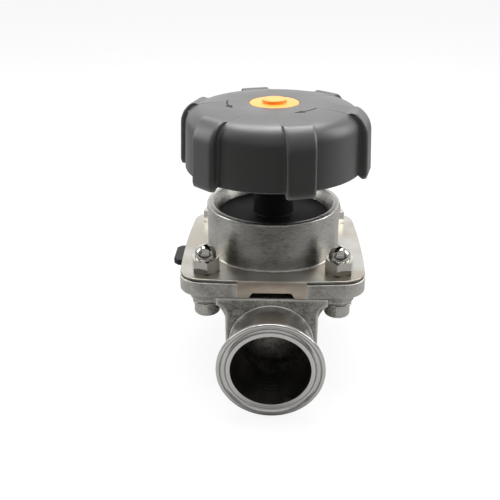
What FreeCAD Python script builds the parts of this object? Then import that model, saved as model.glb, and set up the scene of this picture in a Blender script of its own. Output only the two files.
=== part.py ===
"""Manual weir-type diaphragm valve, DN 50, with clamp ferrules, a stainless bonnet and a lobed handwheel.

Frame: millimetres, +Z up along the stem, +Y along the flow, origin at the centre of the inlet ferrule's face.
Every piece is drawn about the stem axis, with z measured from the bore's axis, and is then placed
half a face-to-face length downstream of the origin. The valve stands fully open.
"""
import FreeCAD, Part
import Sketcher
import math
import os
import re

doc = FreeCAD.newDocument("DiaphragmValve")
Vector = FreeCAD.Vector

# Driving dimensions in millimetres, unless the name ends in _deg or _count
SIZES = {
    # Line connection
    "face_to_face": 173.0,
    "bore_radius": 23.75,
    "tube_wall": 2.05,
    "ferrule_radius": 32.0,
    "ferrule_land": 2.3,
    "ferrule_taper": 1.3,
    "ferrule_shoulder": 28.4,
    "ferrule_blend": 2.6,
    "gasket_radius": 28.15,
    "gasket_groove": 1.75,
    # Body casting
    "cast_half_length": 54.4,
    "cast_end_radius": 28.6,
    "cast_mid_radius": 30.0,
    "seal_height": 30.5,
    "body_flange_width": 102.4,
    "body_flange_length": 101.0,
    "body_flange_thick": 6.0,
    "body_flange_corner": 11.0,
    "flare_radius": 17.0,
    "flare_length": 92.0,
    "boss_radius": 9.0,
    "boss_thick": 2.6,
    "bowl_radius": 31.0,
    "bowl_wall": 4.0,
    "weir_band": 3.5,
    "straight_bore": 38.0,
    "saddle_depth": 6.0,
    "saddle_radius": 26.0,
    "spot_face": 0.5,
    "spot_depth": 12.0,
    # Bolting, placed from the body flange's sides and ends
    "bolt_side": 10.2,
    "bolt_end": 11.5,
    "screw_radius": 4.95,
    "bolt_hole": 5.5,
    "thread_hole": 5.05,
    "screw_length": 30.0,
    "head_radius": 8.0,
    "head_thick": 7.5,
    "head_round": 1.1,
    "socket_flats": 7.0,
    "socket_depth": 4.5,
    "washer_radius": 8.9,
    "washer_thick": 1.6,
    "nut_flats": 16.0,
    "nut_hex_height": 8.6,
    "nut_height": 16.6,
    "nut_dome": 6.6,
    "nut_thread_depth": 12.6,
    "nut_turn_deg": 12.0,
    "nut_bevel_deg": 30.0,
    # Diaphragm
    "rim_over_side": 1.3,
    "rim_within_end": 1.7,
    "rim_corner": 11.0,
    "rim_thick": 4.1,
    "rim_clear": 0.3,
    "dome_rise": 1.5,
    "dome_thick": 4.4,
    "dome_radius": 30.0,
    "dome_flat": 12.0,
    "tab_proud": 8.4,
    "tab_width": 23.0,
    "tab_chamfer": 3.0,
    # Bonnet
    "flange_gap": 0.3,
    "bonnet_over_side": 6.0,
    "bonnet_over_end": 3.5,
    "bonnet_corner": 14.5,
    "side_bow": 590.0,
    "bonnet_thick": 11.6,
    "cast_edge": 0.6,
    "land_thick": 2.2,
    "land_step": 0.7,
    "notch_width": 28.0,
    "notch_lean": 2.2,
    "cup_radius": 42.8,
    "cup_rise": 31.2,
    "cup_mouth": 38.9,
    "cup_inner": 35.0,
    "cup_fillet": 1.6,
    "cup_rim_round": 1.3,
    "chamber_radius": 33.0,
    "floor_thick": 5.0,
    # Compressor and its stem bearing
    "stroke": 22.0,
    "compressor_gap": 0.4,
    "compressor_height": 17.4,
    "compressor_reach": 24.0,
    "nose_half": 8.0,
    "shoulder_half": 15.0,
    "nose_rise": 7.0,
    "stud_radius": 3.0,
    "stud_head_radius": 7.0,
    "stud_head_thick": 1.9,
    "stud_grip": 6.2,
    "soft_clear": 0.3,
    "thread_clear": 0.05,
    "bearing_floor": 7.2,
    "thrust_thick": 1.5,
    "thrust_gap": 0.2,
    "socket_clear": 0.3,
    "pin_radius": 2.0,
    "pin_length": 23.0,
    "pin_height": 4.3,
    "pin_clear": 0.1,
    "pin_fit": 0.03,
    # Spindle nut
    "top_gap": 0.3,
    "spindle_radius": 8.0,
    "spindle_fit": 0.05,
    "spindle_neck": 5.8,
    "nut_radius": 11.0,
    "nut_flange_radius": 14.0,
    "nut_flange_thick": 3.0,
    "nut_fit": 0.05,
    "clip_thick": 1.2,
    "clip_outer": 13.6,
    "clip_groove": 0.8,
    "clip_recess": 2.1,
    "seal_ring_section": 1.0,
    # Dust sleeve and wiper
    "cover_thick": 3.5,
    "cover_clear": 0.2,
    "sleeve_radius": 12.5,
    "sleeve_wall": 3.2,
    "sleeve_rise": 24.0,
    "wiper_thick": 2.5,
    # Handwheel
    "wheel_clear": 0.2,
    "lobe_radius": 60.2,
    "lobe_half_width": 8.8,
    "lobe_count": 6.0,
    "wheel_turn_deg": -14.0,
    "lobe_root": 46.0,
    "lobe_round": 1.6,
    "wheel_height": 41.2,
    "wheel_radius": 55.7,
    "wheel_lift": 2.2,
    "wheel_draft": 1.2,
    "wheel_shoulder": 11.5,
    "lobe_shoulder": 15.5,
    "crown_start": 30.0,
    "crown_edge": 46.0,
    "crown_drop": 2.1,
    "wheel_wall": 3.6,
    "rib_thick": 3.0,
    "rib_drop": 13.0,
    "rib_lap": 1.0,
    "hub_radius": 16.5,
    "hub_pocket": 20.5,
    "hub_clear": 0.8,
    # Wheel fastening
    "square_flats": 11.0,
    "square_fit": 0.1,
    "insert_flats": 21.0,
    "insert_height": 9.7,
    "stem_thread_radius": 5.0,
    "wheel_washer_radius": 10.0,
    "wheel_washer_thick": 1.6,
    "wheel_nut_flats": 17.0,
    "wheel_nut_height": 5.0,
    "stem_end_proud": 1.0,
    # Indicator cap
    "cap_radius": 15.27,
    "cap_thick": 2.8,
    "cap_clear": 0.2,
    "cap_skirt_radius": 11.9,
    "cap_skirt_wall": 1.3,
    "cap_skirt_drop": 5.0,
    "cap_round": 0.5,
    "cap_boss_radius": 7.5,
    "cap_boss_height": 2.1,
}

sheet = doc.addObject("Spreadsheet::Sheet", "Sizes")
for row, (alias, size) in enumerate(SIZES.items(), start=1):
    sheet.set(f"A{row}", alias)
    sheet.set(f"B{row}", str(size))
    sheet.setAlias(f"B{row}", alias)
doc.recompute()

# Spans between the sections of the passage's loft
LOFT_STEPS = 4

# Directions of travel along an outline's arc
LEFT, RIGHT = 1, -1

# Plan sizes that follow from the body flange
BOLT_WIDTH = "(body_flange_width - 2 * bolt_side)"
BOLT_LENGTH = "(body_flange_length - 2 * bolt_end)"
RIM_WIDTH = "(body_flange_width + 2 * rim_over_side)"
RIM_LENGTH = "(body_flange_length - 2 * rim_within_end)"
BONNET_WIDTH = "(body_flange_width + 2 * bonnet_over_side)"
BONNET_LENGTH = "(body_flange_length + 2 * bonnet_over_end)"
TAB_REACH = f"({BONNET_WIDTH} / 2 + tab_proud)"

# Heights that follow from the driving dimensions
STEM_PLACE = "(face_to_face / 2)"
FLANGE_BASE = "(seal_height - body_flange_thick)"
BOSS_BASE = f"({FLANGE_BASE} - boss_thick)"
WASHER_BASE = f"({BOSS_BASE} - washer_thick)"
BONNET_BASE = "(seal_height + flange_gap)"
BONNET_TOP = f"({BONNET_BASE} + bonnet_thick)"
RIM_TOP = "(seal_height + rim_thick)"
CUP_TOP = f"({BONNET_TOP} + cup_rise)"
DOME_UNDER = "(seal_height + dome_rise)"
DOME_TOP = f"({DOME_UNDER} + dome_thick)"
CREST = f"({DOME_UNDER} - stroke)"
BOWL_DEPTH = f"(seal_height - {CREST})"
BOWL_SWEEP = f"((bowl_radius * bowl_radius + {BOWL_DEPTH} * {BOWL_DEPTH}) / (2 * {BOWL_DEPTH}))"
BOWL_CENTRE = f"({CREST} + {BOWL_SWEEP})"
COMPRESSOR_BASE = f"({DOME_TOP} + compressor_gap)"
COMPRESSOR_TOP = f"({COMPRESSOR_BASE} + compressor_height)"
THRUST_BASE = f"({COMPRESSOR_BASE} + bearing_floor)"
SPINDLE_END = f"({THRUST_BASE} + thrust_thick + thrust_gap)"
PIN_HEIGHT = f"({SPINDLE_END} + pin_height)"
NUT_BASE = f"({COMPRESSOR_TOP} + top_gap)"
CHAMBER_TOP = f"({NUT_BASE} + nut_flange_thick)"
FLOOR_TOP = f"({CHAMBER_TOP} + floor_thick)"
COVER_TOP = f"({FLOOR_TOP} + cover_thick)"
SLEEVE_TOP = f"({COVER_TOP} + sleeve_rise)"
LOBE_BASE = f"({CUP_TOP} + stroke + wheel_clear)"
WHEEL_BASE = f"({LOBE_BASE} + wheel_lift)"
WHEEL_TOP = f"({LOBE_BASE} + wheel_height)"
HUB_CEILING = f"({LOBE_BASE} + hub_pocket)"
INSERT_TOP = f"({HUB_CEILING} + insert_height)"
WHEEL_NUT_BASE = f"({INSERT_TOP} + wheel_washer_thick)"
WHEEL_NUT_TOP = f"({WHEEL_NUT_BASE} + wheel_nut_height)"
CAP_SEAT = f"({WHEEL_TOP} - cap_thick)"


def cell(text):
    """Writes a size expression with each size's name bound to the sheet."""
    return re.sub(r"[a-z_]+", lambda word: f"Sizes.{word[0]}" if word[0] in SIZES else word[0], str(text))


def number(text):
    """Works out a size expression now, for the first drawing of an outline."""
    return float(sheet.evalExpression(cell(text)))


def minus(text):
    """The negative of a size expression."""
    return f"(-{text})"


def new_body(label, across="0", along=STEM_PLACE):
    """A body that stands on the stem axis, or at a place of its own, and gives its label to its file."""
    body = doc.addObject("PartDesign::Body", label)
    body.Label = label
    body.AllowCompound = True
    body.setExpression("Placement.Base.x", cell(across))
    body.setExpression("Placement.Base.y", cell(along))
    return body


def corner_body(name):
    """A body on the axis of the first flange bolt, measured from the stem."""
    return new_body(name, f"({BOLT_WIDTH} / 2)", f"({BOLT_LENGTH} / 2)")


def new_sketch(body, name, plane, lift="0"):
    """A sketch on one of the body's own origin planes, raised along the plane's normal."""
    sketch = body.newObject("Sketcher::SketchObject", name)
    support = [item for item in body.Origin.OriginFeatures if item.Role == plane][0]
    sketch.AttachmentSupport = [(support, "")]
    sketch.MapMode = "FlatFace"
    if lift != "0":
        sketch.setExpression("AttachmentOffset.Base.z", cell(lift))
    return sketch


def hold(sketch, edge, end, across, up):
    """Fixes one point of the sketch at its distances from the origin."""
    for kind, axis, distance in (("DistanceX", -2, across), ("DistanceY", -1, up)):
        if distance == "0":
            sketch.addConstraint(Sketcher.Constraint("PointOnObject", edge, end, axis))
        else:
            made = sketch.addConstraint(Sketcher.Constraint(kind, -1, 1, edge, end, number(distance)))
            sketch.setExpression(f"Constraints[{made}]", cell(distance))


def arc_between(start, end, radius, turn):
    """The shorter arc from start to end with the given radius, turning left or right."""
    chord = end - start
    half = chord.Length / 2
    rise = math.sqrt(max(radius * radius - half * half, 0.0))
    across = Vector(-chord.y, chord.x, 0).normalize()
    centre = (start + end) * 0.5 + across * (rise * turn)
    first, last = (start, end) if turn == LEFT else (end, start)
    opening = math.atan2(first.y - centre.y, first.x - centre.x)
    closing = math.atan2(last.y - centre.y, last.x - centre.x)
    if closing <= opening:
        closing += 2 * math.pi
    return Part.ArcOfCircle(Part.Circle(centre, Vector(0, 0, 1), radius), opening, closing)


def add_loop(sketch, corners):
    """Draws a closed outline. A corner is (across, up), or (across, up, radius, turn) where an arc leaves it."""
    points = [Vector(number(corner[0]), number(corner[1]), 0) for corner in corners]
    begins, ends, bends = [], [], []
    for index, corner in enumerate(corners):
        start, end = points[index], points[(index + 1) % len(corners)]
        if len(corner) == 4:
            edge = sketch.addGeometry(arc_between(start, end, number(corner[2]), corner[3]), False)
            bends.append((edge, corner[2]))
        else:
            edge = sketch.addGeometry(Part.LineSegment(start, end), False)
        turned = len(corner) == 4 and corner[3] == RIGHT
        begins.append((edge, 2 if turned else 1))
        ends.append((edge, 1 if turned else 2))
    for index, corner in enumerate(corners):
        sketch.addConstraint(Sketcher.Constraint("Coincident", *ends[index - 1], *begins[index]))
        hold(sketch, *begins[index], corner[0], corner[1])
    for edge, radius in bends:
        made = sketch.addConstraint(Sketcher.Constraint("Radius", edge, number(radius)))
        sketch.setExpression(f"Constraints[{made}]", cell(radius))


def add_circle(sketch, across, up, radius):
    """Draws a circle at a held centre."""
    centre = Vector(number(across), number(up), 0)
    edge = sketch.addGeometry(Part.Circle(centre, Vector(0, 0, 1), number(radius)), False)
    hold(sketch, edge, 3, across, up)
    made = sketch.addConstraint(Sketcher.Constraint("Radius", edge, number(radius)))
    sketch.setExpression(f"Constraints[{made}]", cell(radius))


def rounded_rectangle(half_width, half_length, corner, bow=None):
    """Outline of a rectangle about the origin with rounded corners, its sides bowed out by a radius if given."""
    leaving = () if bow is None else (bow, LEFT)
    inner_x, inner_y = f"({half_width} - {corner})", f"({half_length} - {corner})"
    return [
        (inner_x, minus(half_length), corner, LEFT),
        (half_width, minus(inner_y), *leaving),
        (half_width, inner_y, corner, LEFT),
        (inner_x, half_length, *leaving),
        (minus(inner_x), half_length, corner, LEFT),
        (minus(half_width), inner_y, *leaving),
        (minus(half_width), minus(inner_y), corner, LEFT),
        (minus(inner_x), minus(half_length), *leaving),
    ]


def polygon(flats, sides, turn="0", across="0", up="0"):
    """Outline of a regular polygon with the given width across flats, turned in degrees."""
    reach = f"({flats} / 2 / cos({180 / sides}))"
    return [
        (f"({across} + {reach} * cos({360 / sides * step} + {turn}))",
         f"({up} + {reach} * sin({360 / sides * step} + {turn}))")
        for step in range(sides)
    ]


def bolt_places(sketch, radius):
    """Draws one circle at each of the four flange bolts."""
    for side in ("1", "-1"):
        for end in ("1", "-1"):
            add_circle(sketch, f"({side} * {BOLT_WIDTH} / 2)", f"({end} * {BOLT_LENGTH} / 2)", radius)


def pad(body, sketch, length, middle=False, reverse=False):
    """Adds the sketch's area over a length, one way or half each way."""
    feature = body.newObject("PartDesign::Pad", sketch.Name + "_pad")
    feature.Profile = sketch
    feature.SideType = "Symmetric" if middle else "One side"
    feature.Reversed = reverse
    feature.setExpression("Length", cell(length))
    return feature


def pocket(body, sketch, length, middle=False, reverse=False):
    """Cuts the sketch's area over a length, against the sketch's normal unless reversed."""
    feature = body.newObject("PartDesign::Pocket", sketch.Name + "_pocket")
    feature.Profile = sketch
    feature.SideType = "Symmetric" if middle else "One side"
    feature.Reversed = reverse
    feature.setExpression("Length", cell(length))
    return feature


def turn(body, sketch, axis="V_Axis"):
    """Adds the sketch's area turned round one of the sketch's axes."""
    feature = body.newObject("PartDesign::Revolution", sketch.Name + "_turn")
    feature.Profile = sketch
    feature.ReferenceAxis = (sketch, [axis])
    feature.Angle = 360
    return feature


def groove(body, sketch, axis="V_Axis"):
    """Cuts the sketch's area turned round one of the sketch's axes."""
    feature = body.newObject("PartDesign::Groove", sketch.Name + "_groove")
    feature.Profile = sketch
    feature.ReferenceAxis = (sketch, [axis])
    feature.Angle = 360
    return feature


def round_edges(body, name, radius, wanted):
    """Rounds the edges of the body's last feature that the test picks."""
    doc.recompute()
    base = body.Tip
    picked = [f"Edge{index}" for index, edge in enumerate(base.Shape.Edges, start=1) if wanted(edge)]
    feature = body.newObject("PartDesign::Fillet", name)
    feature.Base = (base, picked)
    feature.setExpression("Radius", cell(radius))
    return feature


def lathe(label, corners, plane="XZ_Plane"):
    """A body turned round the stem from its half outline."""
    body = new_body(label)
    sketch = new_sketch(body, label + "_outline", plane)
    add_loop(sketch, corners)
    turn(body, sketch)
    return body


def four_corners(label, first):
    """Joins a piece at the first bolt and its mirror images at the other three into one group."""
    across = doc.addObject("Part::Mirroring", label + "_across")
    across.Source = first
    across.Normal = Vector(1, 0, 0)
    group = [first, across]
    for source in (first, across):
        along = doc.addObject("Part::Mirroring", source.Name + "_along")
        along.Source = source
        along.Normal = Vector(0, 1, 0)
        group.append(along)
    joined = doc.addObject("Part::Compound", label)
    joined.Label = label
    joined.Links = group
    joined.setExpression("Placement.Base.y", cell(STEM_PLACE))
    return joined


def half_sections(outline):
    """Mirrors a half outline that runs from the inlet to the middle, and joins both halves."""
    mirrored = [(minus(corner[0]), corner[1]) for corner in reversed(outline)]
    arcs = [index for index, corner in enumerate(outline) if len(corner) == 4]
    for index in arcs:
        place = len(outline) - 2 - index
        mirrored[place] = mirrored[place] + outline[index][2:]
    return outline + mirrored


def passage_loft(body, name, wall, kind):
    """A loft of circles that eases up from the straight bore to the weir's crest, with a wall's offset."""
    sections = []
    for step in range(LOFT_STEPS + 1):
        along = step / LOFT_STEPS
        share = along * along * (3 - 2 * along)
        place = f"(straight_bore + (weir_band - straight_bore) * {along})"
        reach = f"(bore_radius + ({BOWL_SWEEP} - bore_radius) * {share})"
        height = f"((0 - bore_radius) + ({CREST} + bore_radius) * {share} + {reach})"
        sketch = new_sketch(body, f"{name}_{step}", "XZ_Plane", place)
        add_circle(sketch, "0", height, f"({reach} + {wall})")
        sections.append(sketch)
    loft = body.newObject(kind, name)
    loft.Profile = sections[0]
    loft.Sections = sections[1:]
    return loft


def mirror_along(body, feature, name):
    """Repeats a feature on the other side of the stem, along the flow."""
    mirrored = body.newObject("PartDesign::Mirrored", name)
    mirrored.Originals = [feature]
    plane = [item for item in body.Origin.OriginFeatures if item.Role == "XZ_Plane"][0]
    mirrored.MirrorPlane = (plane, [""])
    body.Tip = mirrored
    return mirrored


def valve_body():
    """The cast body: clamp ferrules, turned tubes, flared neck, flange and the passage over the weir."""
    body = new_body("valve_body")
    face = minus(STEM_PLACE)
    tube = "(bore_radius + tube_wall)"
    taper_end = f"({face} + ferrule_land + ferrule_taper)"

    casting = new_sketch(body, "casting", "YZ_Plane")
    add_loop(casting, half_sections([
        (face, "0"),
        (face, "ferrule_radius"),
        (f"({face} + ferrule_land)", "ferrule_radius"),
        (taper_end, "ferrule_shoulder", "ferrule_blend", LEFT),
        (f"({taper_end} + ferrule_blend)", tube),
        (minus("cast_half_length"), tube),
        (minus("cast_half_length"), "cast_end_radius"),
        (minus("weir_band"), "cast_mid_radius"),
    ]))
    turn(body, casting, "H_Axis")

    neck = new_sketch(body, "neck", "XZ_Plane")
    flare_end = "(cast_end_radius + flare_radius)"
    flare_start = f"({FLANGE_BASE} - flare_radius)"
    lap = f"({FLANGE_BASE} + body_flange_thick / 4)"
    add_loop(neck, [
        ("cast_end_radius", "0"),
        ("cast_end_radius", flare_start, "flare_radius", RIGHT),
        (flare_end, FLANGE_BASE),
        (flare_end, lap),
        (minus(flare_end), lap),
        (minus(flare_end), FLANGE_BASE, "flare_radius", RIGHT),
        (minus("cast_end_radius"), flare_start),
        (minus("cast_end_radius"), "0"),
    ])
    pad(body, neck, "flare_length", middle=True)

    flange = new_sketch(body, "flange", "XY_Plane", FLANGE_BASE)
    add_loop(flange, rounded_rectangle("(body_flange_width / 2)", "(body_flange_length / 2)",
                                       "body_flange_corner"))
    pad(body, flange, "body_flange_thick")

    shell = passage_loft(body, "passage_shell", "bowl_wall", "PartDesign::AdditiveLoft")
    mirror_along(body, shell, "passage_shell_outlet")

    saddle_shell = new_sketch(body, "crest_shell", "XZ_Plane")
    add_circle(saddle_shell, "0", BOWL_CENTRE, f"({BOWL_SWEEP} + bowl_wall)")
    pad(body, saddle_shell, "(2 * weir_band)", middle=True)

    spot = new_sketch(body, "spot_faces", "XY_Plane", BOSS_BASE)
    bolt_places(spot, "(washer_radius + spot_face)")
    pocket(body, spot, "spot_depth")

    bosses = new_sketch(body, "bosses", "XY_Plane", BOSS_BASE)
    bolt_places(bosses, "boss_radius")
    pad(body, bosses, "(boss_thick + body_flange_thick / 4)")

    above = new_sketch(body, "above_flange", "XY_Plane", "seal_height")
    add_loop(above, rounded_rectangle("(body_flange_width / 2)", "(body_flange_length / 2)",
                                      "body_flange_corner"))
    pocket(body, above, "(3 * bowl_radius)", reverse=True)

    passage = passage_loft(body, "passage", "0", "PartDesign::SubtractiveLoft")
    mirror_along(body, passage, "passage_outlet")

    crest = new_sketch(body, "crest", "XZ_Plane")
    add_circle(crest, "0", BOWL_CENTRE, BOWL_SWEEP)
    pocket(body, crest, "(2 * weir_band)", middle=True)

    bores = new_sketch(body, "bores", "YZ_Plane")
    for side in ("1", "-1"):
        add_loop(bores, [
            (f"({side} * {STEM_PLACE})", "0"),
            (f"({side} * {STEM_PLACE})", "bore_radius"),
            (f"({side} * straight_bore)", "bore_radius"),
            (f"({side} * straight_bore)", "0"),
        ])
    groove(body, bores, "H_Axis")

    gaskets = new_sketch(body, "gasket_grooves", "YZ_Plane")
    for side in ("1", "-1"):
        add_circle(gaskets, f"({side} * {STEM_PLACE})", "gasket_radius", "gasket_groove")
    groove(body, gaskets, "H_Axis")

    saddle = new_sketch(body, "saddle", "YZ_Plane")
    add_circle(saddle, "0", "(saddle_depth - cast_mid_radius - saddle_radius)", "saddle_radius")
    pocket(body, saddle, "(3 * cast_mid_radius)", middle=True)

    holes = new_sketch(body, "body_bolt_holes", "XY_Plane", "seal_height")
    bolt_places(holes, "bolt_hole")
    pocket(body, holes, "(2 * body_flange_thick + boss_thick)")
    return body


def bonnet():
    """The cast bonnet: bolted flange with a machined land, diaphragm recess, chamber and open cup."""
    body = new_body("bonnet")
    flange = new_sketch(body, "bonnet_flange", "XY_Plane", BONNET_BASE)
    add_loop(flange, rounded_rectangle(f"({BONNET_WIDTH} / 2)", f"({BONNET_LENGTH} / 2)",
                                       "bonnet_corner", "side_bow"))
    pad(body, flange, "(bonnet_thick - land_thick)")
    round_edges(body, "bonnet_cast_edges", "cast_edge", is_level)

    land = new_sketch(body, "bonnet_land", "XY_Plane", f"({BONNET_TOP} - land_thick)")
    add_loop(land, rounded_rectangle(f"({BONNET_WIDTH} / 2 - land_step)",
                                     f"({BONNET_LENGTH} / 2 - land_step)", "(bonnet_corner - land_step)",
                                     "side_bow"))
    pad(body, land, "land_thick")

    cup = new_sketch(body, "cup", "XZ_Plane")
    lap = f"({BONNET_TOP} - land_thick)"
    add_loop(cup, [
        ("0", lap),
        ("(cup_radius + cup_fillet)", lap),
        ("(cup_radius + cup_fillet)", BONNET_TOP, "cup_fillet", RIGHT),
        ("cup_radius", f"({BONNET_TOP} + cup_fillet)"),
        ("cup_radius", f"({CUP_TOP} - cup_rim_round)", "cup_rim_round", LEFT),
        ("(cup_radius - cup_rim_round)", CUP_TOP),
        ("(cup_mouth + cup_rim_round)", CUP_TOP, "cup_rim_round", LEFT),
        ("cup_mouth", f"({CUP_TOP} - cup_rim_round)"),
        ("cup_inner", COVER_TOP),
        ("cup_inner", FLOOR_TOP),
        ("0", FLOOR_TOP),
    ])
    turn(body, cup)

    chamber = new_sketch(body, "chamber", "XZ_Plane")
    nut_hole = "(nut_radius + nut_fit)"
    clip_hole = "(clip_outer + cover_clear)"
    clip_seat = f"({FLOOR_TOP} - clip_recess)"
    add_loop(chamber, [
        ("0", BONNET_BASE),
        ("chamber_radius", BONNET_BASE),
        ("chamber_radius", CHAMBER_TOP),
        (nut_hole, CHAMBER_TOP),
        (nut_hole, clip_seat),
        (clip_hole, clip_seat),
        (clip_hole, FLOOR_TOP),
        ("0", FLOOR_TOP),
    ])
    groove(body, chamber)

    recess = new_sketch(body, "rim_recess", "XY_Plane", BONNET_BASE)
    add_loop(recess, rounded_rectangle(f"({RIM_WIDTH} / 2 + rim_clear)", f"({RIM_LENGTH} / 2 + rim_clear)",
                                       "(rim_corner + rim_clear)"))
    pocket(body, recess, "(rim_thick - flange_gap)", reverse=True)

    for name, plane, span in (("notch_flow", "XZ_Plane", BONNET_LENGTH),
                              ("notch_side", "YZ_Plane", BONNET_WIDTH)):
        notch = new_sketch(body, name, plane)
        add_loop(notch, [
            ("(-notch_width / 2)", BONNET_BASE),
            ("(notch_width / 2)", BONNET_BASE),
            ("(notch_width / 2 - notch_lean)", RIM_TOP),
            ("(notch_lean - notch_width / 2)", RIM_TOP),
        ])
        pocket(body, notch, f"(2 * {span})", middle=True)

    holes = new_sketch(body, "bonnet_bolt_holes", "XY_Plane", BONNET_TOP)
    bolt_places(holes, "bolt_hole")
    pocket(body, holes, "(2 * bonnet_thick)")
    return body


def is_level(edge):
    """Whether an edge lies in a level plane."""
    return edge.BoundBox.ZLength < 1e-6


def diaphragm():
    """The moulded diaphragm: square rim clamped between the flanges, low dome and a side tab."""
    body = new_body("diaphragm")
    rim = new_sketch(body, "rim", "XY_Plane", "seal_height")
    add_loop(rim, rounded_rectangle(f"({RIM_WIDTH} / 2)", f"({RIM_LENGTH} / 2)", "rim_corner"))
    pad(body, rim, "rim_thick")

    tab = new_sketch(body, "tab", "XY_Plane", "seal_height")
    add_loop(tab, [
        (f"(rim_corner - {RIM_WIDTH} / 2)", "(-tab_width / 2)"),
        (f"(rim_corner - {RIM_WIDTH} / 2)", "(tab_width / 2)"),
        (f"(tab_chamfer - {TAB_REACH})", "(tab_width / 2)"),
        (minus(TAB_REACH), "(tab_width / 2 - tab_chamfer)"),
        (minus(TAB_REACH), "(tab_chamfer - tab_width / 2)"),
        (f"(tab_chamfer - {TAB_REACH})", "(-tab_width / 2)"),
    ])
    pad(body, tab, "rim_thick")

    dome = new_sketch(body, "dome", "XZ_Plane")
    add_loop(dome, [
        ("0", DOME_UNDER),
        ("dome_radius", DOME_UNDER),
        ("dome_radius", RIM_TOP),
        ("dome_flat", DOME_TOP),
        ("0", DOME_TOP),
    ])
    turn(body, dome)

    hollow = new_sketch(body, "dome_hollow", "XZ_Plane")
    add_loop(hollow, [
        ("0", "seal_height"),
        ("(bowl_radius - soft_clear)", "seal_height"),
        ("dome_flat", DOME_UNDER),
        ("0", DOME_UNDER),
    ])
    groove(body, hollow)

    socket = new_sketch(body, "stud_socket", "XZ_Plane")
    add_loop(socket, [
        ("0", f"({DOME_TOP} - stud_head_thick - soft_clear)"),
        ("(stud_head_radius + soft_clear)", f"({DOME_TOP} - stud_head_thick - soft_clear)"),
        ("(stud_head_radius + soft_clear)", DOME_TOP),
        ("0", DOME_TOP),
    ])
    groove(body, socket)

    holes = new_sketch(body, "rim_bolt_holes", "XY_Plane", RIM_TOP)
    bolt_places(holes, "bolt_hole")
    pocket(body, holes, "(2 * rim_thick)")
    return body


def compressor():
    """The compressor: a boat-shaped shoe whose nose follows the weir, bored for the spindle's end."""
    body = new_body("compressor")
    sweep = f"({BOWL_SWEEP} - dome_thick - compressor_gap)"
    shoe_drop = f"sqrt({sweep} * {sweep} - compressor_reach * compressor_reach)"
    shoe_edge = f"({COMPRESSOR_BASE} + {sweep} - {shoe_drop})"
    shoe = new_sketch(body, "shoe", "XZ_Plane")
    add_loop(shoe, [
        (minus("compressor_reach"), shoe_edge, sweep, LEFT),
        ("compressor_reach", shoe_edge),
        ("compressor_reach", COMPRESSOR_TOP),
        (minus("compressor_reach"), COMPRESSOR_TOP),
    ])
    pad(body, shoe, "(2 * shoulder_half)", middle=True)

    nose = new_sketch(body, "nose", "YZ_Plane")
    for side in ("1", "-1"):
        add_loop(nose, [
            (f"({side} * nose_half)", COMPRESSOR_BASE),
            (f"({side} * shoulder_half)", COMPRESSOR_BASE),
            (f"({side} * shoulder_half)", f"({COMPRESSOR_BASE} + nose_rise)"),
        ])
    pocket(body, nose, "(4 * compressor_reach)", middle=True)

    bearing = new_sketch(body, "stem_bearing", "XZ_Plane")
    add_loop(bearing, [
        ("0", THRUST_BASE),
        ("(spindle_radius + socket_clear)", THRUST_BASE),
        ("(spindle_radius + socket_clear)", COMPRESSOR_TOP),
        ("0", COMPRESSOR_TOP),
    ])
    groove(body, bearing)

    stud_hole = new_sketch(body, "stud_hole", "XZ_Plane")
    add_loop(stud_hole, [
        ("0", COMPRESSOR_BASE),
        ("(stud_radius + thread_clear)", COMPRESSOR_BASE),
        ("(stud_radius + thread_clear)", f"({COMPRESSOR_BASE} + stud_grip)"),
        ("0", f"({COMPRESSOR_BASE} + stud_grip)"),
    ])
    groove(body, stud_hole)

    pin_holes = new_sketch(body, "pin_holes", "XZ_Plane")
    for side in ("1", "-1"):
        add_circle(pin_holes, f"({side} * (spindle_neck + pin_clear + pin_radius))", PIN_HEIGHT,
                   "(pin_radius + pin_fit)")
    pocket(body, pin_holes, "(3 * shoulder_half)", middle=True)
    return body


def retaining_pins():
    """The two cross pins that trap the spindle's neck in the compressor."""
    body = new_body("retaining_pins")
    sketch = new_sketch(body, "pin_ends", "XZ_Plane")
    for side in ("1", "-1"):
        add_circle(sketch, f"({side} * (spindle_neck + pin_clear + pin_radius))", PIN_HEIGHT, "pin_radius")
    pad(body, sketch, "pin_length", middle=True)
    return body


def diaphragm_stud():
    """The stud that ties the diaphragm to the compressor, with its moulded-in disc."""
    seat = f"({DOME_TOP} - stud_head_thick)"
    shank_top = f"({COMPRESSOR_BASE} + stud_grip - soft_clear)"
    return lathe("diaphragm_stud", [
        ("0", seat),
        ("stud_head_radius", seat),
        ("stud_head_radius", DOME_TOP),
        ("stud_radius", DOME_TOP),
        ("stud_radius", shank_top),
        ("0", shank_top),
    ])


def ring(label, inner, outer, base, top):
    """A plain ring round the stem."""
    return lathe(label, [(inner, base), (outer, base), (outer, top), (inner, top)])


def spindle_nut():
    """The threaded bush in the bonnet's floor, with its flange, seal groove and clip groove."""
    bore = "(spindle_radius + spindle_fit)"
    seal_depth = "(nut_radius - 2 * seal_ring_section)"
    seal_low = f"({CHAMBER_TOP} + seal_ring_section / 2)"
    seal_high = f"({seal_low} + 2 * seal_ring_section)"
    clip_low = f"({FLOOR_TOP} - clip_recess)"
    clip_high = f"({clip_low} + clip_thick)"
    return lathe("spindle_nut", [
        (bore, NUT_BASE),
        ("nut_flange_radius", NUT_BASE),
        ("nut_flange_radius", CHAMBER_TOP),
        ("nut_radius", CHAMBER_TOP),
        ("nut_radius", seal_low),
        (seal_depth, seal_low),
        (seal_depth, seal_high),
        ("nut_radius", seal_high),
        ("nut_radius", clip_low),
        ("(nut_radius - clip_groove)", clip_low),
        ("(nut_radius - clip_groove)", clip_high),
        ("nut_radius", clip_high),
        ("nut_radius", FLOOR_TOP),
        (bore, FLOOR_TOP),
    ])


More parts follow.
